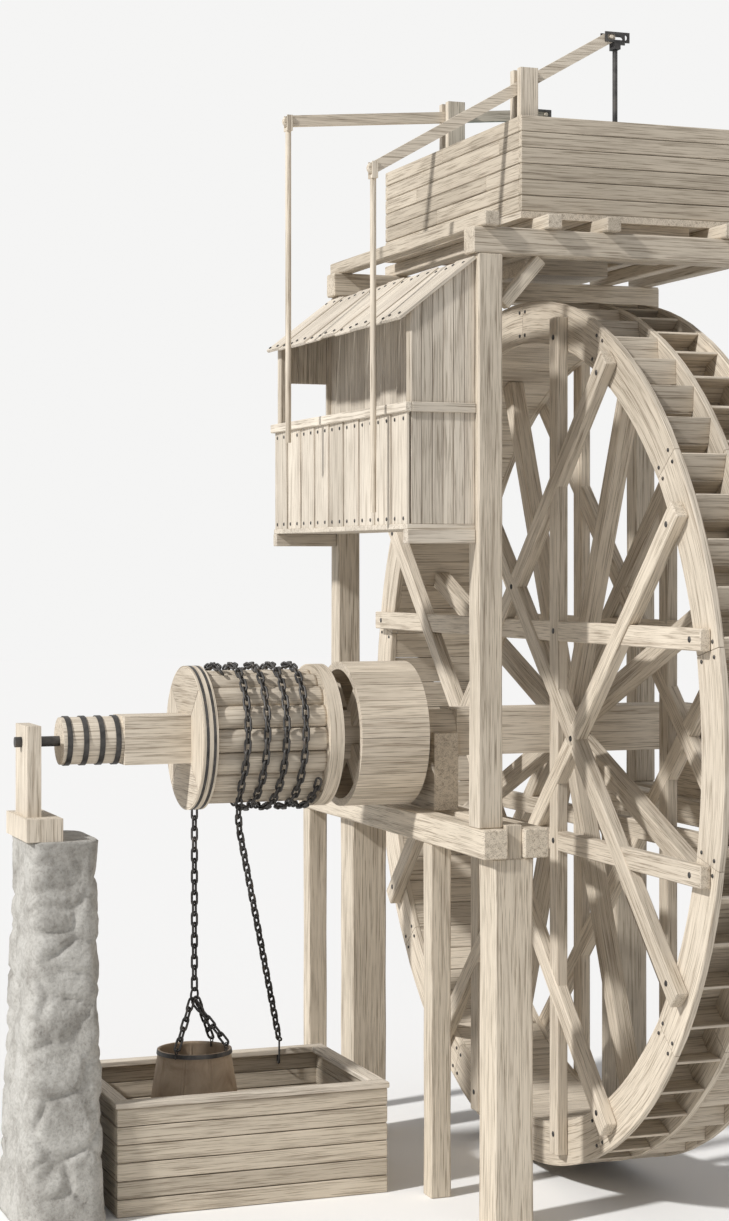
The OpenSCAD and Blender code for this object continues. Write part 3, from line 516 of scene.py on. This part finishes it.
st = Stock("cabin_posts")
inset, plate_t = board_t + stud_w / 2, 0.036
x = cabin_left + inset
for y in (-cabin_y + inset, cabin_y - inset):
    st.plank((x, y, cabin_z), (x, y, eaves_z), X, stud_w, stud_w, 0.006)
y, z = cabin_y - board_t, eaves_z + plate_t / 2 + 0.001
st.plank((x, -y, z), (x, y, z), X, stud_w - 0.002, plate_t, 0.004)
st.make(m_post, "frame", ["cabin_studs"])

st = Stock("roof_boards")
roof_n, roof_out, roof_gap, roof_t = 9, 0.06, 0.012, (0.043, 0.027)
roof_w = 2 * (cabin_y + roof_out) / roof_n
roof_up = V((-slope, 0, 1)).normalized()
for k in range(roof_n):
    y = -cabin_y - roof_out + roof_w * (k + 0.5)
    short = 0.0 if k % 3 == 0 else rnd.uniform(0.0, 0.045)
    low = V((cabin_left - eaves_out + short, y, eave(cabin_left - eaves_out + short)))
    high = V((cabin_right - 0.003, y, eave(cabin_right - 0.003)))
    lift = roof_up * (roof_t[k % 2] / 2 + 0.001)
    st.plank(low + lift + X * 0.012, high + lift, Y, roof_w - roof_gap, roof_t[k % 2], 0.006,
             rough=0.3, cuts=2)
st.make(m_board, "frame", ["cabin_roof"])

st = Stock("cabin_floor_boards")
floor_n, cabin_floor_t, cabin_joist_w, cabin_joist_h = 14, 0.06, 0.14, 0.16
floor_w = 2 * cabin_y / floor_n
z = cabin_z - cabin_floor_t / 2
for k in range(floor_n):
    y = -cabin_y + floor_w * (k + 0.5)
    st.plank((cabin_left, y, z), (cabin_right, y, z), Y, floor_w - 0.005, cabin_floor_t, 0.005)
z = cabin_z - cabin_floor_t - cabin_joist_h / 2
for y in (-pillar_y, pillar_y):
    st.plank((cabin_left, y, z), (cabin_right, y, z), Y, cabin_joist_w, cabin_joist_h - 0.002, 0.008)
st.make(m_board, "frame", ["cabin_floor"])

# The shaft's box
st = Stock("box_planks")
row_h, row_gap = box_h / rows, 0.008
for k in range(rows):
    z = row_h * (k + 0.5)
    for y in (box_y + box_t / 2, box_y + box_w - box_t / 2):
        st.plank((box_x, y, z), (box_x + box_l, y, z), Z, row_h - row_gap, box_t, 0.01, rough=0.3, cuts=4)
    for x in (box_x + box_t / 2, box_x + box_l - box_t / 2):
        st.plank((x, box_y + box_t, z), (x, box_y + box_w - box_t, z), Z, row_h - row_gap, box_t, 0.01,
                 rough=0.3, cuts=4)
st.make(m_plank, "frame", ["shaft_box"])

st = Stock("box_top_planks")
z = box_h + coping_t / 2
x0, x1 = box_x - coping_out, box_x + box_l + coping_out
y0, y1 = box_y - coping_out, box_y + box_w + coping_out
for y in (y0 + coping_w / 2, y1 - coping_w / 2):
    st.plank((x0, y, z), (x1, y, z), Y, coping_w, coping_t, 0.008, rough=0.3, cuts=4)
for x in (x0 + coping_w / 2, x1 - coping_w / 2):
    st.plank((x, y0 + coping_w, z), (x, y1 - coping_w, z), X, coping_w, coping_t, 0.008, rough=0.3, cuts=3)
st.make(m_board, "frame", ["box_coping"])


# The wheel
def turned(a):
    """Unit vectors outward and onward at angle a of the wheel, with 0 straight up"""
    c, s = math.cos(a), math.sin(a)
    return V((0, -s, c)), V((0, -c, -s))


def hub(x):
    return V((x, 0, axle_z))


def about_x(a):
    return Matrix.Rotation(a, 3, "X")


def about_y(a):
    return Matrix.Rotation(a, 3, "Y")


def about_z(a):
    return Matrix.Rotation(a, 3, "Z")


st = Stock("rim_boards")
pegs = Stock("rim_pegs")
felloes, rim_steps, rim_slit = 14, 8, 0.004 / wheel_r
middle_in = rim_in + sole_t + seat
for r, x0 in enumerate(rim_x):
    middle = r == 1
    inner = middle_in if middle else rim_in
    side = -1 if r == 0 else 1
    for k in range(felloes):
        a0, a1 = FULL * k / felloes, FULL * (k + 1) / felloes
        frames = []
        for i in range(rim_steps + 1):
            up, on = turned(a0 + rim_slit + (a1 - a0 - 2 * rim_slit) * i / rim_steps)
            share = 0.0 if 0 < i < rim_steps else 0.6
            frames.append((hub(x0 + rim_t / 2) + up * (inner + wheel_r) / 2, up, X, share))
        st.strip(frames, wheel_r - inner, rim_t, 0.007)
        if middle:
            continue
        # Two pegs on each side of a joint
        for a, sign in ((a0, 1), (a1, -1)):
            for height in (0.11, 0.40):
                up, on = turned(a + sign * 0.085 / wheel_r)
                face = hub(x0 if r == 0 else x0 + rim_t) + up * (rim_in + height)
                start = face - X * side * 0.002
                pegs.rod(start, start + X * side * 0.008, 0.022, 8, 0.006)
st.make(m_wheel, "wheel", ["left_rim", "middle_rim", "right_rim"])
pegs.make(m_iron, "wheel")

st = Stock("sole_planks")
sole_n, sole_half = 84, 0.5795
sole_w = FULL * rim_in / sole_n
for k in range(sole_n):
    up, on = turned(FULL * (k + 0.5) / sole_n)
    at = up * (rim_in + sole_t / 2 + 0.001)
    st.plank(hub(-sole_half) + at, hub(sole_half) + at, on, sole_w - 0.008, sole_t - 0.006, 0.005)
st.make(m_wheel, "wheel", ["sole_boards"])

# Each bucket is a floor that stands on the sole and a front that leans off it
depth = wheel_r - rim_in - sole_t
bucket_n, bucket_lean, bucket_t = 60, 38, 0.03
floor_len, front_len, half = depth * 0.45, depth * 0.62, row_w / 2 - 0.001
for side, name, node in ((1, "left_bucket_boards", "left_buckets"),
                         (-1, "right_bucket_boards", "right_buckets")):
    st = Stock(name)
    x0 = (rim_x[0] if side > 0 else rim_x[1]) + rim_t
    lean = math.radians(bucket_lean) * side
    for k in range(bucket_n):
        up, on = turned(FULL * k / bucket_n)
        mid = hub(x0 + row_w / 2)
        c = mid + up * (middle_in + 0.003 + floor_len / 2)
        st.plank(c - X * half, c + X * half, up, floor_len, bucket_t, 0.004)
        leant = up * math.cos(lean) - on * math.sin(lean)
        c = mid + up * (middle_in + 0.004 + floor_len) + leant * (0.0107 + front_len / 2)
        st.plank(c - X * half, c + X * half, leant, front_len, bucket_t, 0.004)
    st.make(m_wheel, "wheel", [node])

# Four pairs of beams on each face, in three thicknesses
arm_t, arm_w, arm_off, arm_lap = 0.13, 0.24, 1.25, 0.02
reach = wheel_r - 0.15
chord = math.sqrt(reach ** 2 - arm_off ** 2)
peg_in = 0.24
for side, name, node in ((-1, "left_arm_beams", "left_arms"), (1, "right_arm_beams", "right_arms")):
    st = Stock(name)
    pegs = Stock(name + "_pegs")
    for degrees, lap in ((0, 0), (90, 1), (45, 2), (135, 2)):
        rot = about_x(math.radians(degrees))
        t = arm_t + lap * arm_lap / 2
        for off in (-arm_off, arm_off):
            mid = hub(side * (wheel_w / 2 + t / 2))
            start, end = mid + rot @ V((0, -chord, off)), mid + rot @ V((0, chord, off))
            st.plank(start, end, rot @ Z, arm_w - 0.002 * lap, t, 0.012, rough=0.2, cuts=5)
            d = (end - start).normalized()
            for s in (peg_in, 2 * chord - peg_in, chord - arm_off, chord + arm_off):
                at = start + d * s
                at.x = side * (wheel_w / 2 + t) - side * 0.002
                pegs.rod(at, at + X * side * 0.007, 0.034, 10, 0.006)
    st.make(m_wheel, "wheel", [node])
    pegs.make(m_iron, "wheel")

st = Stock("hub_beams")
hub_in, hub_w = 0.3, 0.216
half = math.sqrt((rim_in - seat) ** 2 - 0.11 ** 2)
for k in range(4):
    rot = about_x(math.radians(22.5 + 45 * k))
    for s in (-1, 1):
        start, end = hub(0) + rot @ V((0, s * hub_in, 0)), hub(0) + rot @ V((0, s * half, 0))
        st.plank(start, end, rot @ Z, hub_w, hub_w, 0.012, rough=0.2, cuts=3)
st.make(m_wheel, "wheel", ["hub_arms"])


# The drum and the brake drum
def ring_point(x, r, a):
    return V((x, r * math.cos(a), axle_z + r * math.sin(a)))


def mitred_head(st, x, r):
    """A round head of four boards mitred from the corners of the square axle to the rim"""
    # The fixed tones of the four boards are painted shade: the lower the tone, the darker the board is
    # painted
    boards, steps, slit, gap_w, tones = 4, 10, 0.008, 0.006, (0.1, 1.0, 0.45, 0.8)
    for k in range(boards):
        a0 = math.pi / 4 + FULL * k / boards
        a1 = a0 + FULL / boards
        corners = [V((0, math.cos(a), math.sin(a))) * axle_w / 2 * math.sqrt(2) for a in (a0, a1)]
        outer = []
        for i in range(steps + 1):
            a = a0 + slit + (a1 - a0 - 2 * slit) * i / steps
            outer.append(V((0, r * math.cos(a), r * math.sin(a))))
        across = (outer[-1] - outer[0]).normalized()
        gap = across * gap_w
        outline = [corners[0] + gap] + outer + [corners[1] - gap]
        off = grain_offset()
        first, m = len(st.verts), len(outline)
        for face_x in (x, x + head_t):
            for q in outline:
                st.verts.append(hub(face_x) + q)
                st.grain.append((q.dot(across) + off.x, q.dot(across.cross(X)) + off.y, face_x + off.z))
                st.tones.append(tones[k])
        st.faces.append(tuple(first + i for i in range(m)))
        st.faces.append(tuple(first + m + i for i in reversed(range(m))))
        for i in range(m):
            j = (i + 1) % m
            st.faces.append((first + j, first + i, first + m + i, first + m + j))
        st.smooth += [False] * (m + 2)


def hoop(st, x, w, r, t):
    """A flat ring round the axle, from x on"""
    n = 64
    section = [(0, 0), (w, 0), (w, t), (0, t)]
    rings = []
    for i in range(n):
        a = FULL * i / n
        rings.append(([ring_point(x + p, r + q, a) for p, q in section], r * a, section))
    st.sweep(rings, closed=True)


st = Stock("drum_head_boards")
for x in (drum_x, flange_x):
    mitred_head(st, x, head_r - 0.02)
for x in (drum_x, flange_x):
    hoop(st, x + 0.004, head_t - 0.008, head_r - 0.021, 0.02)
st.make(m_wheel, "wheel", ["drum_heads"])

st = Stock("drum_tyres")
for off in (0.03, 0.115):
    hoop(st, drum_x + off, 0.035, head_r - 0.002, 0.002)
st.make(m_iron, "wheel")

st = Stock("drum_logs")
log_n, log_steps, log_gap, log_foot = 16, 12, 0.002, 0.05
half_turn = math.tan(math.pi / log_n)
log_r = math.pi * drum_r / log_n - 0.004
log_in = drum_r - log_r
# Places along a log, and how full it is there
log_rings = ((0, 0.94), (0.035, 0.985), (0.3, 1), (0.7, 0.992), (1.05, 1),
             (stave_l - 0.035, 0.985), (stave_l, 0.94))
for k in range(log_n):
    a = FULL * k / log_n
    out, aside = V((0, math.cos(a), math.sin(a))), V((0, -math.sin(a), math.cos(a)))
    foot_w = ((log_in + log_foot) * half_turn - log_gap) * 0.8
    profile = [(-log_foot, -foot_w)]
    for i in range(log_steps + 1):
        b = -math.pi / 2 + math.pi * i / log_steps
        rise, width = log_r * math.cos(b), log_r * math.sin(b)
        limit = (log_in + rise) * half_turn - log_gap
        profile.append((rise, max(-limit, min(limit, width))))
    profile.append((-log_foot, foot_w))
    rings = []
    for x, full in log_rings:
        full *= 1 - 0.004 * rnd.random()
        section = [(p * full, q) for p, q in profile]
        c = hub(drum_x + head_t + x) + out * log_in
        rings.append(([c + out * p + aside * q for p, q in section], x, section))
    st.sweep(rings)
    for i in range(len(st.smooth) - 2 - (len(log_rings) - 1) * len(profile), len(st.smooth) - 2):
        st.smooth[i] = True
st.make(m_wheel, "wheel", ["drum_staves"])

st = Stock("brake_boards")
brake_n, slit, cross_end, cross_w, cross_t = 24, 0.003, 0.11, 0.296, 0.098
for k in range(brake_n):
    a0, a1 = FULL * k / brake_n, FULL * (k + 1) / brake_n
    section = []
    for r, steps in ((brake_r, (0, 1, 2, 3)), (brake_r - brake_t, (3, 2, 1, 0))):
        for i in steps:
            section.append((r, a0 + slit + (a1 - a0 - 2 * slit) * i / 3))
    across = [(r * a, r) for r, a in section]
    rings = []
    for x in (0, brake_len * 0.5, brake_len):
        rings.append(([ring_point(brake_x + x, r, a) for r, a in section], x, across))
    st.sweep(rings)
for x in (brake_x + cross_end, brake_x + brake_len - cross_end):
    for k in range(2):
        rot = about_x(math.radians(45 + 90 * k))
        for s in (-1, 1):
            start = hub(x) + rot @ V((0, s * (axle_w / 2 + 0.02), 0))
            end = hub(x) + rot @ V((0, s * (brake_r - brake_t), 0))
            st.plank(start, end, rot @ Z, cross_w, cross_t, 0.006)
st.make(m_wheel, "wheel", ["brake_drum"])

# Chains of round bar, with each link where the CAD model has it
pitch, bar, link_r = 0.13, 0.015, 0.035
hole = link_r - bar
link_half = pitch / 2 - math.sqrt(hole ** 2 - bar ** 2) + 0.00015
turn_n = math.ceil(FULL * (drum_r + 0.008 + (link_r + 2 * bar) * math.sqrt(0.5)) / pitch)
coil_r = pitch / 2 / math.tan(math.pi / turn_n)
leave_r = coil_r / math.cos(math.pi / turn_n)


def link(st, mid, rot, play=0.0):
    """A link at mid, with its length along rot's X and its flat side along rot's Z"""
    path = []
    for s in (1, -1):
        for i in range(7):
            b = -math.pi / 2 + math.pi * i / 6
            path.append(V((s * (link_half + play + link_r * math.cos(b)), s * link_r * math.sin(b), 0)))
    st.tube([mid + rot @ p for p in path], bar, 8, rot @ Z, tone=0.5)


def along(d):
    """The turn that lays a link's length along d"""
    return about_x(math.atan2(d.y, -d.z)) @ about_y(-math.pi / 2 - math.asin(d.x))


def quarter_turns(start, k):
    """The roll of link k, since each link stands across the one before"""
    return about_x(math.radians(start + 90 * k))


def straight(st, start, d, n, roll):
    for k in range(n):
        link(st, start + d * (k + 0.5) * pitch, along(d) @ quarter_turns(roll, k))


def coil(st, x0, a0, hand, n, step):
    """n links round the drum from x0 and angle a0, which move by step along the axle each turn"""
    lean = math.atan(step / (FULL * coil_r))
    twist = abs(math.sin(lean)) * FULL / turn_n
    play = math.sqrt(2) * bar * math.tan(math.pi / turn_n) + bar * math.tan(twist)
    for k in range(n):
        a = a0 + hand * (k + 0.5) * FULL / turn_n
        mid = ring_point(x0 + step * (k + 0.5) / turn_n, coil_r, a)
        link(st, mid, about_x(a) @ about_y(-math.pi / 2 + hand * lean) @ quarter_turns(45, k), play)


chain_x, chain_step, chain_turns, leave_a = -4.5, 0.235, 4, math.radians(-145)
st = Stock("chain_on_drum")
coil(st, chain_x, leave_a, -1, turn_n * chain_turns, chain_step)
st.make(m_iron, "frame", ["wound_chain"])

# The hide bucket's place, its ring and its lugs, from which the slings' reach follows
bucket_x, bucket_z, bucket_h, mouth_r, bottom_r, hide_t = -4.64, 0.42, 1.15, 0.45, 0.64, 0.025
ring_c, ring_r, lug_hole, lug_t, lug_up, sling_n = 0.085, 0.014, 0.028, 0.014, 0.035, 5
ring_in = math.sqrt((ring_c - ring_r) ** 2 - bar ** 2)
slack = link_half + hole - pitch / 2
lug_at = mouth_r - hide_t / 2
sling_start = ring_c - ring_in + seat - slack
sling_span = sling_n * pitch - sling_start
lug_slack = link_half + math.sqrt(hole ** 2 - lug_t ** 2 / 4) - pitch / 2
side_reach = sling_span + lug_slack + math.sqrt((lug_hole - seat) ** 2 - bar ** 2)
lug_ease = 0.85 * (lug_hole - math.sqrt(lug_hole ** 2 - bar ** 2))
back_reach = sling_span + slack - lug_t * math.sqrt(0.5) - lug_ease - seat
side_a = math.radians(50)


def fall(a, reach):
    """How far a sling of that reach comes down from angle a on the ring to its lug"""
    return math.sqrt(reach ** 2 - (lug_at - ring_c * math.sin(a)) ** 2)


ring_z = bucket_z + bucket_h + lug_up + fall(side_a, side_reach) + ring_c * math.cos(side_a)
foot = ring_z + ring_in - seat + slack
lift_n = math.floor((axle_z - foot) / pitch)
lift_up = axle_z - foot - lift_n * pitch
ring_turn = math.radians(-45 if lift_n % 2 else 45)

st = Stock("chain_to_bucket")
coil(st, bucket_x, 0, 1, 13, -0.03)
straight(st, V((bucket_x, leave_r, axle_z)), -Z, lift_n, 135)
st.make(m_iron, "frame", ["lifting_chain"])

st = Stock("sling_chains")
base = V((bucket_x, leave_r, lift_up))
rot = about_z(ring_turn)
st.tube([base + Z * ring_z + rot @ V((a, 0, b)) for a, b in circle(ring_c, 32)], ring_r, 10, rot @ Y)
for turn, a, reach, roll in ((0, side_a, side_reach, 0), (math.pi, side_a, side_reach, 0),
                             (-math.pi / 2, 0, back_reach, 90)):
    rot = about_z(ring_turn + turn)
    start = V((ring_c * math.sin(a), 0, ring_z - ring_c * math.cos(a)))
    d = V((lug_at - start.x, 0, -fall(a, reach))) / reach
    for k in range(sling_n):
        mid = start - d * sling_start + d * (k + 0.5) * pitch
        link(st, base + rot @ mid, rot @ along(d) @ quarter_turns(roll, k))
st.make(m_iron, "frame", ["bucket_slings"])

# The hooked chain leaves the drum, bends over a few links and runs straight to the hook's eye
coping_edge = box_y + box_w + coping_out - coping_w
hook_r, eye_r, hook_up = 0.012, 0.038, 0.12
hook_n, bend_n, bend_play = 34, 6, 0.0006
eye_in = math.sqrt((eye_r - hook_r) ** 2 - bar ** 2)
hook_y, hook_z = coping_edge - hook_r - seat, box_h + coping_t + hook_up
line = hook_n * pitch + slack + eye_in - seat + eye_r
leave = ring_point(chain_x, leave_r, leave_a)
coil_lean = math.atan(chain_step / (FULL * coil_r))
coil_dir = V((-math.sin(coil_lean), -math.cos(coil_lean) * math.sin(leave_a),
              math.cos(coil_lean) * math.cos(leave_a)))


def bend_dir(d, k):
    """The way of link k in the bend, between the coil's way and the run's way d"""
    share = (k + 1) / (bend_n + 1)
    return (coil_dir * (1 - share) + d * share).normalized()


def bend_off(d, n):
    """How far n links of the bend lie off a straight run along d"""
    off = V((0, 0, 0))
    for k in range(n):
        off += (bend_dir(d, k) - d) * pitch
    return off


def aim(off):
    """The way of a run that ends at the hook when the bend sets it off by that much"""
    y = (hook_y - leave.y - off.y) / line
    z = (hook_z - leave.z - off.z) / line
    return V((math.sqrt(1 - y * y - z * z), y, z))


run = aim(V((0, 0, 0)))
for i in range(6):
    run = aim(bend_off(run, bend_n))
st = Stock("chain_to_hook")
for k in range(bend_n):
    d = bend_dir(run, k)
    mid = leave + bend_off(run, k) + run * k * pitch + d * pitch / 2
    link(st, mid, along(d) @ quarter_turns(45, k), bend_play)
straight(st, leave + bend_off(run, bend_n) + run * bend_n * pitch, run, hook_n - bend_n, 45 + 90 * bend_n)
st.make(m_iron, "frame", ["hooked_chain"])


def dress(material, *nodes):
    """Gives CAD nodes that stay in view a better material"""
    for node in nodes:
        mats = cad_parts[node].data.materials
        mats.clear()
        mats.append(material)


dress(m_iron, "gudgeon", "axle_hoops", "hook", "near_gate", "back_gate")
dress(m_axis[0], "axle", "water_chutes", "near_lever", "back_lever")
dress(m_axis[1], "neck_bearings", "tank_floor")
dress(m_axis[2], "left_bearing", "pivot_posts", "near_pull_rod", "back_pull_rod")

# The hide bucket, sewn of pieces that draw in towards their seams
st = Stock("hide_bucket")
around, up_n, gores = 288, 30, 9
outer, inner = [], []
for i in range(up_n + 1):
    t = i / up_n
    z = bucket_z + bucket_h * t
    cone_r = bottom_r + (mouth_r - bottom_r) * t
    outside, inside = [], []
    for j in range(around):
        a = FULL * j / around
        w = (gores * a / FULL + 0.04 * math.sin(3 * t)) % 1.0
        belly = 0.012 * (1 - math.sin(math.pi * w) ** 0.6)
        seam = 0.010 * math.exp(-((min(w, 1 - w) - 0.05) / 0.02) ** 2)
        sag = 0.006 * math.sin(5 * a + 7 * t) * math.sin(math.pi * t)
        r = cone_r - 0.012 - belly + seam - abs(sag)
        # Under the iron bands the hide lies flat
        if t > 0.955 or t < 0.05:
            r = cone_r - 0.001
        outside.append(base + V((r * math.cos(a), r * math.sin(a), z)))
        q = min(cone_r - hide_t, r - 0.008)
        inside.append(base + V((q * math.cos(a), q * math.sin(a), max(z, bucket_z + 0.03))))
    outer.append(outside)
    inner.append(inside)
section = [(FULL * bottom_r * j / around, 0.0) for j in range(around)]
rings = [(ring, bucket_h * i / up_n, section) for i, ring in enumerate(outer)]
rings += [(ring, bucket_h * (2 - i / up_n), section) for i, ring in reversed(list(enumerate(inner)))]
st.sweep(rings, smooth=True, tone=0.5)
st.make(m_hide, "frame", ["bucket"])

# The bucket's iron bands and its lugs with round eyes
st = Stock("bucket_straps")
band_h, band_n = 0.05, 72
for height in (0.0, bucket_h - 0.052):
    low_r, high_r = [bottom_r + (mouth_r - bottom_r) * (height + h) / bucket_h for h in (0, band_h)]
    low, high = base + Z * (bucket_z + height), base + Z * (bucket_z + height + band_h)
    rings = []
    for j in range(band_n):
        a = FULL * j / band_n
        e = V((math.cos(a), math.sin(a), 0))
        points = [low + e * (low_r - 0.006), low + e * (low_r + 0.003),
                  high + e * (high_r + 0.003), high + e * (high_r - 0.006)]
        rings.append((points, low_r * a, [(0, 0), (0, 1), (1, 1), (1, 0)]))
    st.sweep(rings, closed=True)
side_up = bucket_z + bucket_h + lug_up
back_up = ring_z - ring_c - fall(0, back_reach) - lug_hole - lug_t / 2
for turn, up, wide, through in ((0, side_up, X, Y), (math.pi, side_up, X, Y),
                                (-math.pi / 2, back_up, Y, X)):
    rot = about_z(ring_turn + turn)
    eye = V((lug_at, 0, up))
    path = [eye + wide * b + Z * a for a, b in circle(lug_hole + lug_t / 2, 20)]
    st.tube([base + rot @ p for p in path], lug_t / 2, 8, rot @ through)
    start = base + rot @ V((lug_at, 0, bucket_z + bucket_h - 0.06))
    end = base + rot @ (eye - Z * (lug_hole + lug_t * 0.4))
    st.plank(start, end, rot @ wide, 0.07, lug_t - 0.002, 0.003)
st.make(m_iron, "frame")

# The rough rock pier
st = Stock("rough_rock")
pier_x, pier_w, pier_d, pier_h = -7.0, 0.9, 1.3, 4.35
batter_left, batter_right, batter_y = 0.15, 0.05, 0.25
dressed, dressed_deep = 0.35, 0.035  # height at head and foot where the rock is cut flat, and how deep
rows, cols = 110, 120
mid_x = pier_x + pier_w / 2
rings = []
for i in range(rows + 1):
    u = i / rows
    z = pier_h * u
    x0 = mid_x - pier_w / 2 - batter_left * (1 - u)
    x1 = mid_x + pier_w / 2 + batter_right * (1 - u)
    half = pier_d / 2 + batter_y * (1 - u)
    near_end = max(0.0, 1 - min(z, pier_h - z) / dressed)
    points = []
    for j in range(cols):
        a = FULL * j / cols
        ca, sa = math.cos(a), math.sin(a)
        k = (abs(ca) ** 5 + abs(sa) ** 5) ** -0.2
        e = V((ca * k * (x1 - x0) / 2, sa * k * half, 0))
        at = V(((x0 + x1) / 2, 0, z)) + e
        ledge = rock_noise.noise(V((at.x * 0.7, at.y * 0.7, z * 2.3 + 0.6 * at.y)))
        cell = rock_noise.voronoi(V((at.x * 1.5, at.y * 1.5, z * 2.1)))[0]
        crack = 1 - min(1.0, (cell[1] - cell[0]) * 5)
        deep = 0.035 + 0.05 * (0.5 + 0.5 * ledge) + 0.045 * crack + 0.02 * abs(rock_noise.noise(at * 7))
        deep += (dressed_deep - deep) * near_end
        points.append(at - e.normalized() * deep)
    rings.append((points, z, [(p.x, p.y) for p in points]))
# The rim of the top is rounded, and the top itself lies at the sill's foot
top = [p.lerp(V((mid_x, 0, p.z)), 0.05) for p in points]
for p in points:
    p.z -= 0.02
rings.append((top, pier_h, [(p.x, p.y) for p in top]))
st.sweep(rings, smooth=True, tone=0.7)
st.make(m_stone, "frame", ["stone_pier"])

# The nails of the cabin's front and roof
st = Stock("frame_nails")
nail_off = 0.28  # of a board's width, to each side of its middle


def nail(at, out, r):
    st.rod(at - out * 0.002, at + out * 0.006, r, 8, 0.005)


for k in range(front_n):
    for off in (-nail_off, nail_off):
        y = -cabin_y + front_w * (k + 0.5 + off)
        for z in (cabin_z + 0.06, cabin_z + breast_h - 0.07):
            nail(V((cabin_left + front_step * (0.5 + off), y, z)), -X, 0.022)
for k in range(roof_n):
    for off in (-nail_off, nail_off):
        y = -cabin_y - roof_out + roof_w * (k + 0.5 + off)
        for x in (cabin_left - eaves_out + 0.07, cabin_right - eaves_out + 0.02):
            nail(V((x, y, eave(x))) + roof_up * (roof_t[k % 2] + 0.001), roof_up, 0.02)
st.make(m_iron, "frame")

# The floor
mesh = bpy.data.meshes.new("floor")
mesh.from_pydata([(-60, -60, 0), (60, -60, 0), (60, 160, 0), (-60, 160, 0)], [], [(0, 1, 2, 3)])
floor = bpy.data.objects.new("floor", mesh)
bpy.context.scene.collection.objects.link(floor)
m, nt, bsdf = new_mat("pale_floor")
bsdf.inputs["Base Color"].default_value = (0.90, 0.888, 0.865, 1)
bsdf.inputs["Roughness"].default_value = 0.95
bsdf.inputs["Specular IOR Level"].default_value = 0.0
mesh.materials.append(m)

# The light: camera, glossy and transmission rays see the backdrop, all others the ambient light
world = bpy.data.worlds.new("studio")
bpy.context.scene.world = world
world.use_nodes = True
nt = world.node_tree
ambient = nt.nodes["Background"]
ambient.inputs["Color"].default_value = (0.93, 0.95, 1.0, 1)
ambient.inputs["Strength"].default_value = 0.42
backdrop = nt.nodes.new("ShaderNodeBackground")
backdrop.inputs["Color"].default_value = (0.913, 0.911, 0.905, 1)
backdrop.inputs["Strength"].default_value = 1.0
rays = nt.nodes.new("ShaderNodeLightPath").outputs
seen = rays["Is Camera Ray"]
for ray in ("Is Glossy Ray", "Is Transmission Ray"):
    either = nt.nodes.new("ShaderNodeMath")
    either.operation = "MAXIMUM"
    nt.links.new(seen, either.inputs[0])
    nt.links.new(rays[ray], either.inputs[1])
    seen = either.outputs[0]
pick = nt.nodes.new("ShaderNodeMixShader")
nt.links.new(seen, pick.inputs["Fac"])
nt.links.new(ambient.outputs["Background"], pick.inputs[1])
nt.links.new(backdrop.outputs["Background"], pick.inputs[2])
nt.links.new(pick.outputs["Shader"], nt.nodes["World Output"].inputs["Surface"])

sun = bpy.data.lights.new("key", "SUN")
sun.energy, sun.angle = 3.3, math.radians(4)
key = bpy.data.objects.new("key", sun)
bpy.context.scene.collection.objects.link(key)
key.rotation_euler = V((0.80, 0.22, -0.62)).to_track_quat("-Z", "Y").to_euler()

# The camera, fitted to the picture's edges by least squares
photo_w, photo_h, focal_px, sensor = 729, 1221, 2451, 36.0
lens = bpy.data.cameras.new("camera")
lens.sensor_fit, lens.sensor_height, lens.sensor_width = "VERTICAL", sensor, sensor * photo_w / photo_h
lens.lens = focal_px / photo_h * sensor
lens.shift_x, lens.shift_y = -57.3 / photo_h, -46.5 / photo_h
lens.clip_end = 500
camera = bpy.data.objects.new("camera", lens)
bpy.context.scene.collection.objects.link(camera)
look_a = math.radians(21.06)
look = V((math.sin(look_a), math.cos(look_a), 0))
camera.location = V((-2, 0, 7.5)) - look * 30
camera.rotation_euler = look.to_track_quat("-Z", "Y").to_euler()
bpy.context.scene.camera = camera
bpy.context.scene.view_settings.view_transform = "Standard"
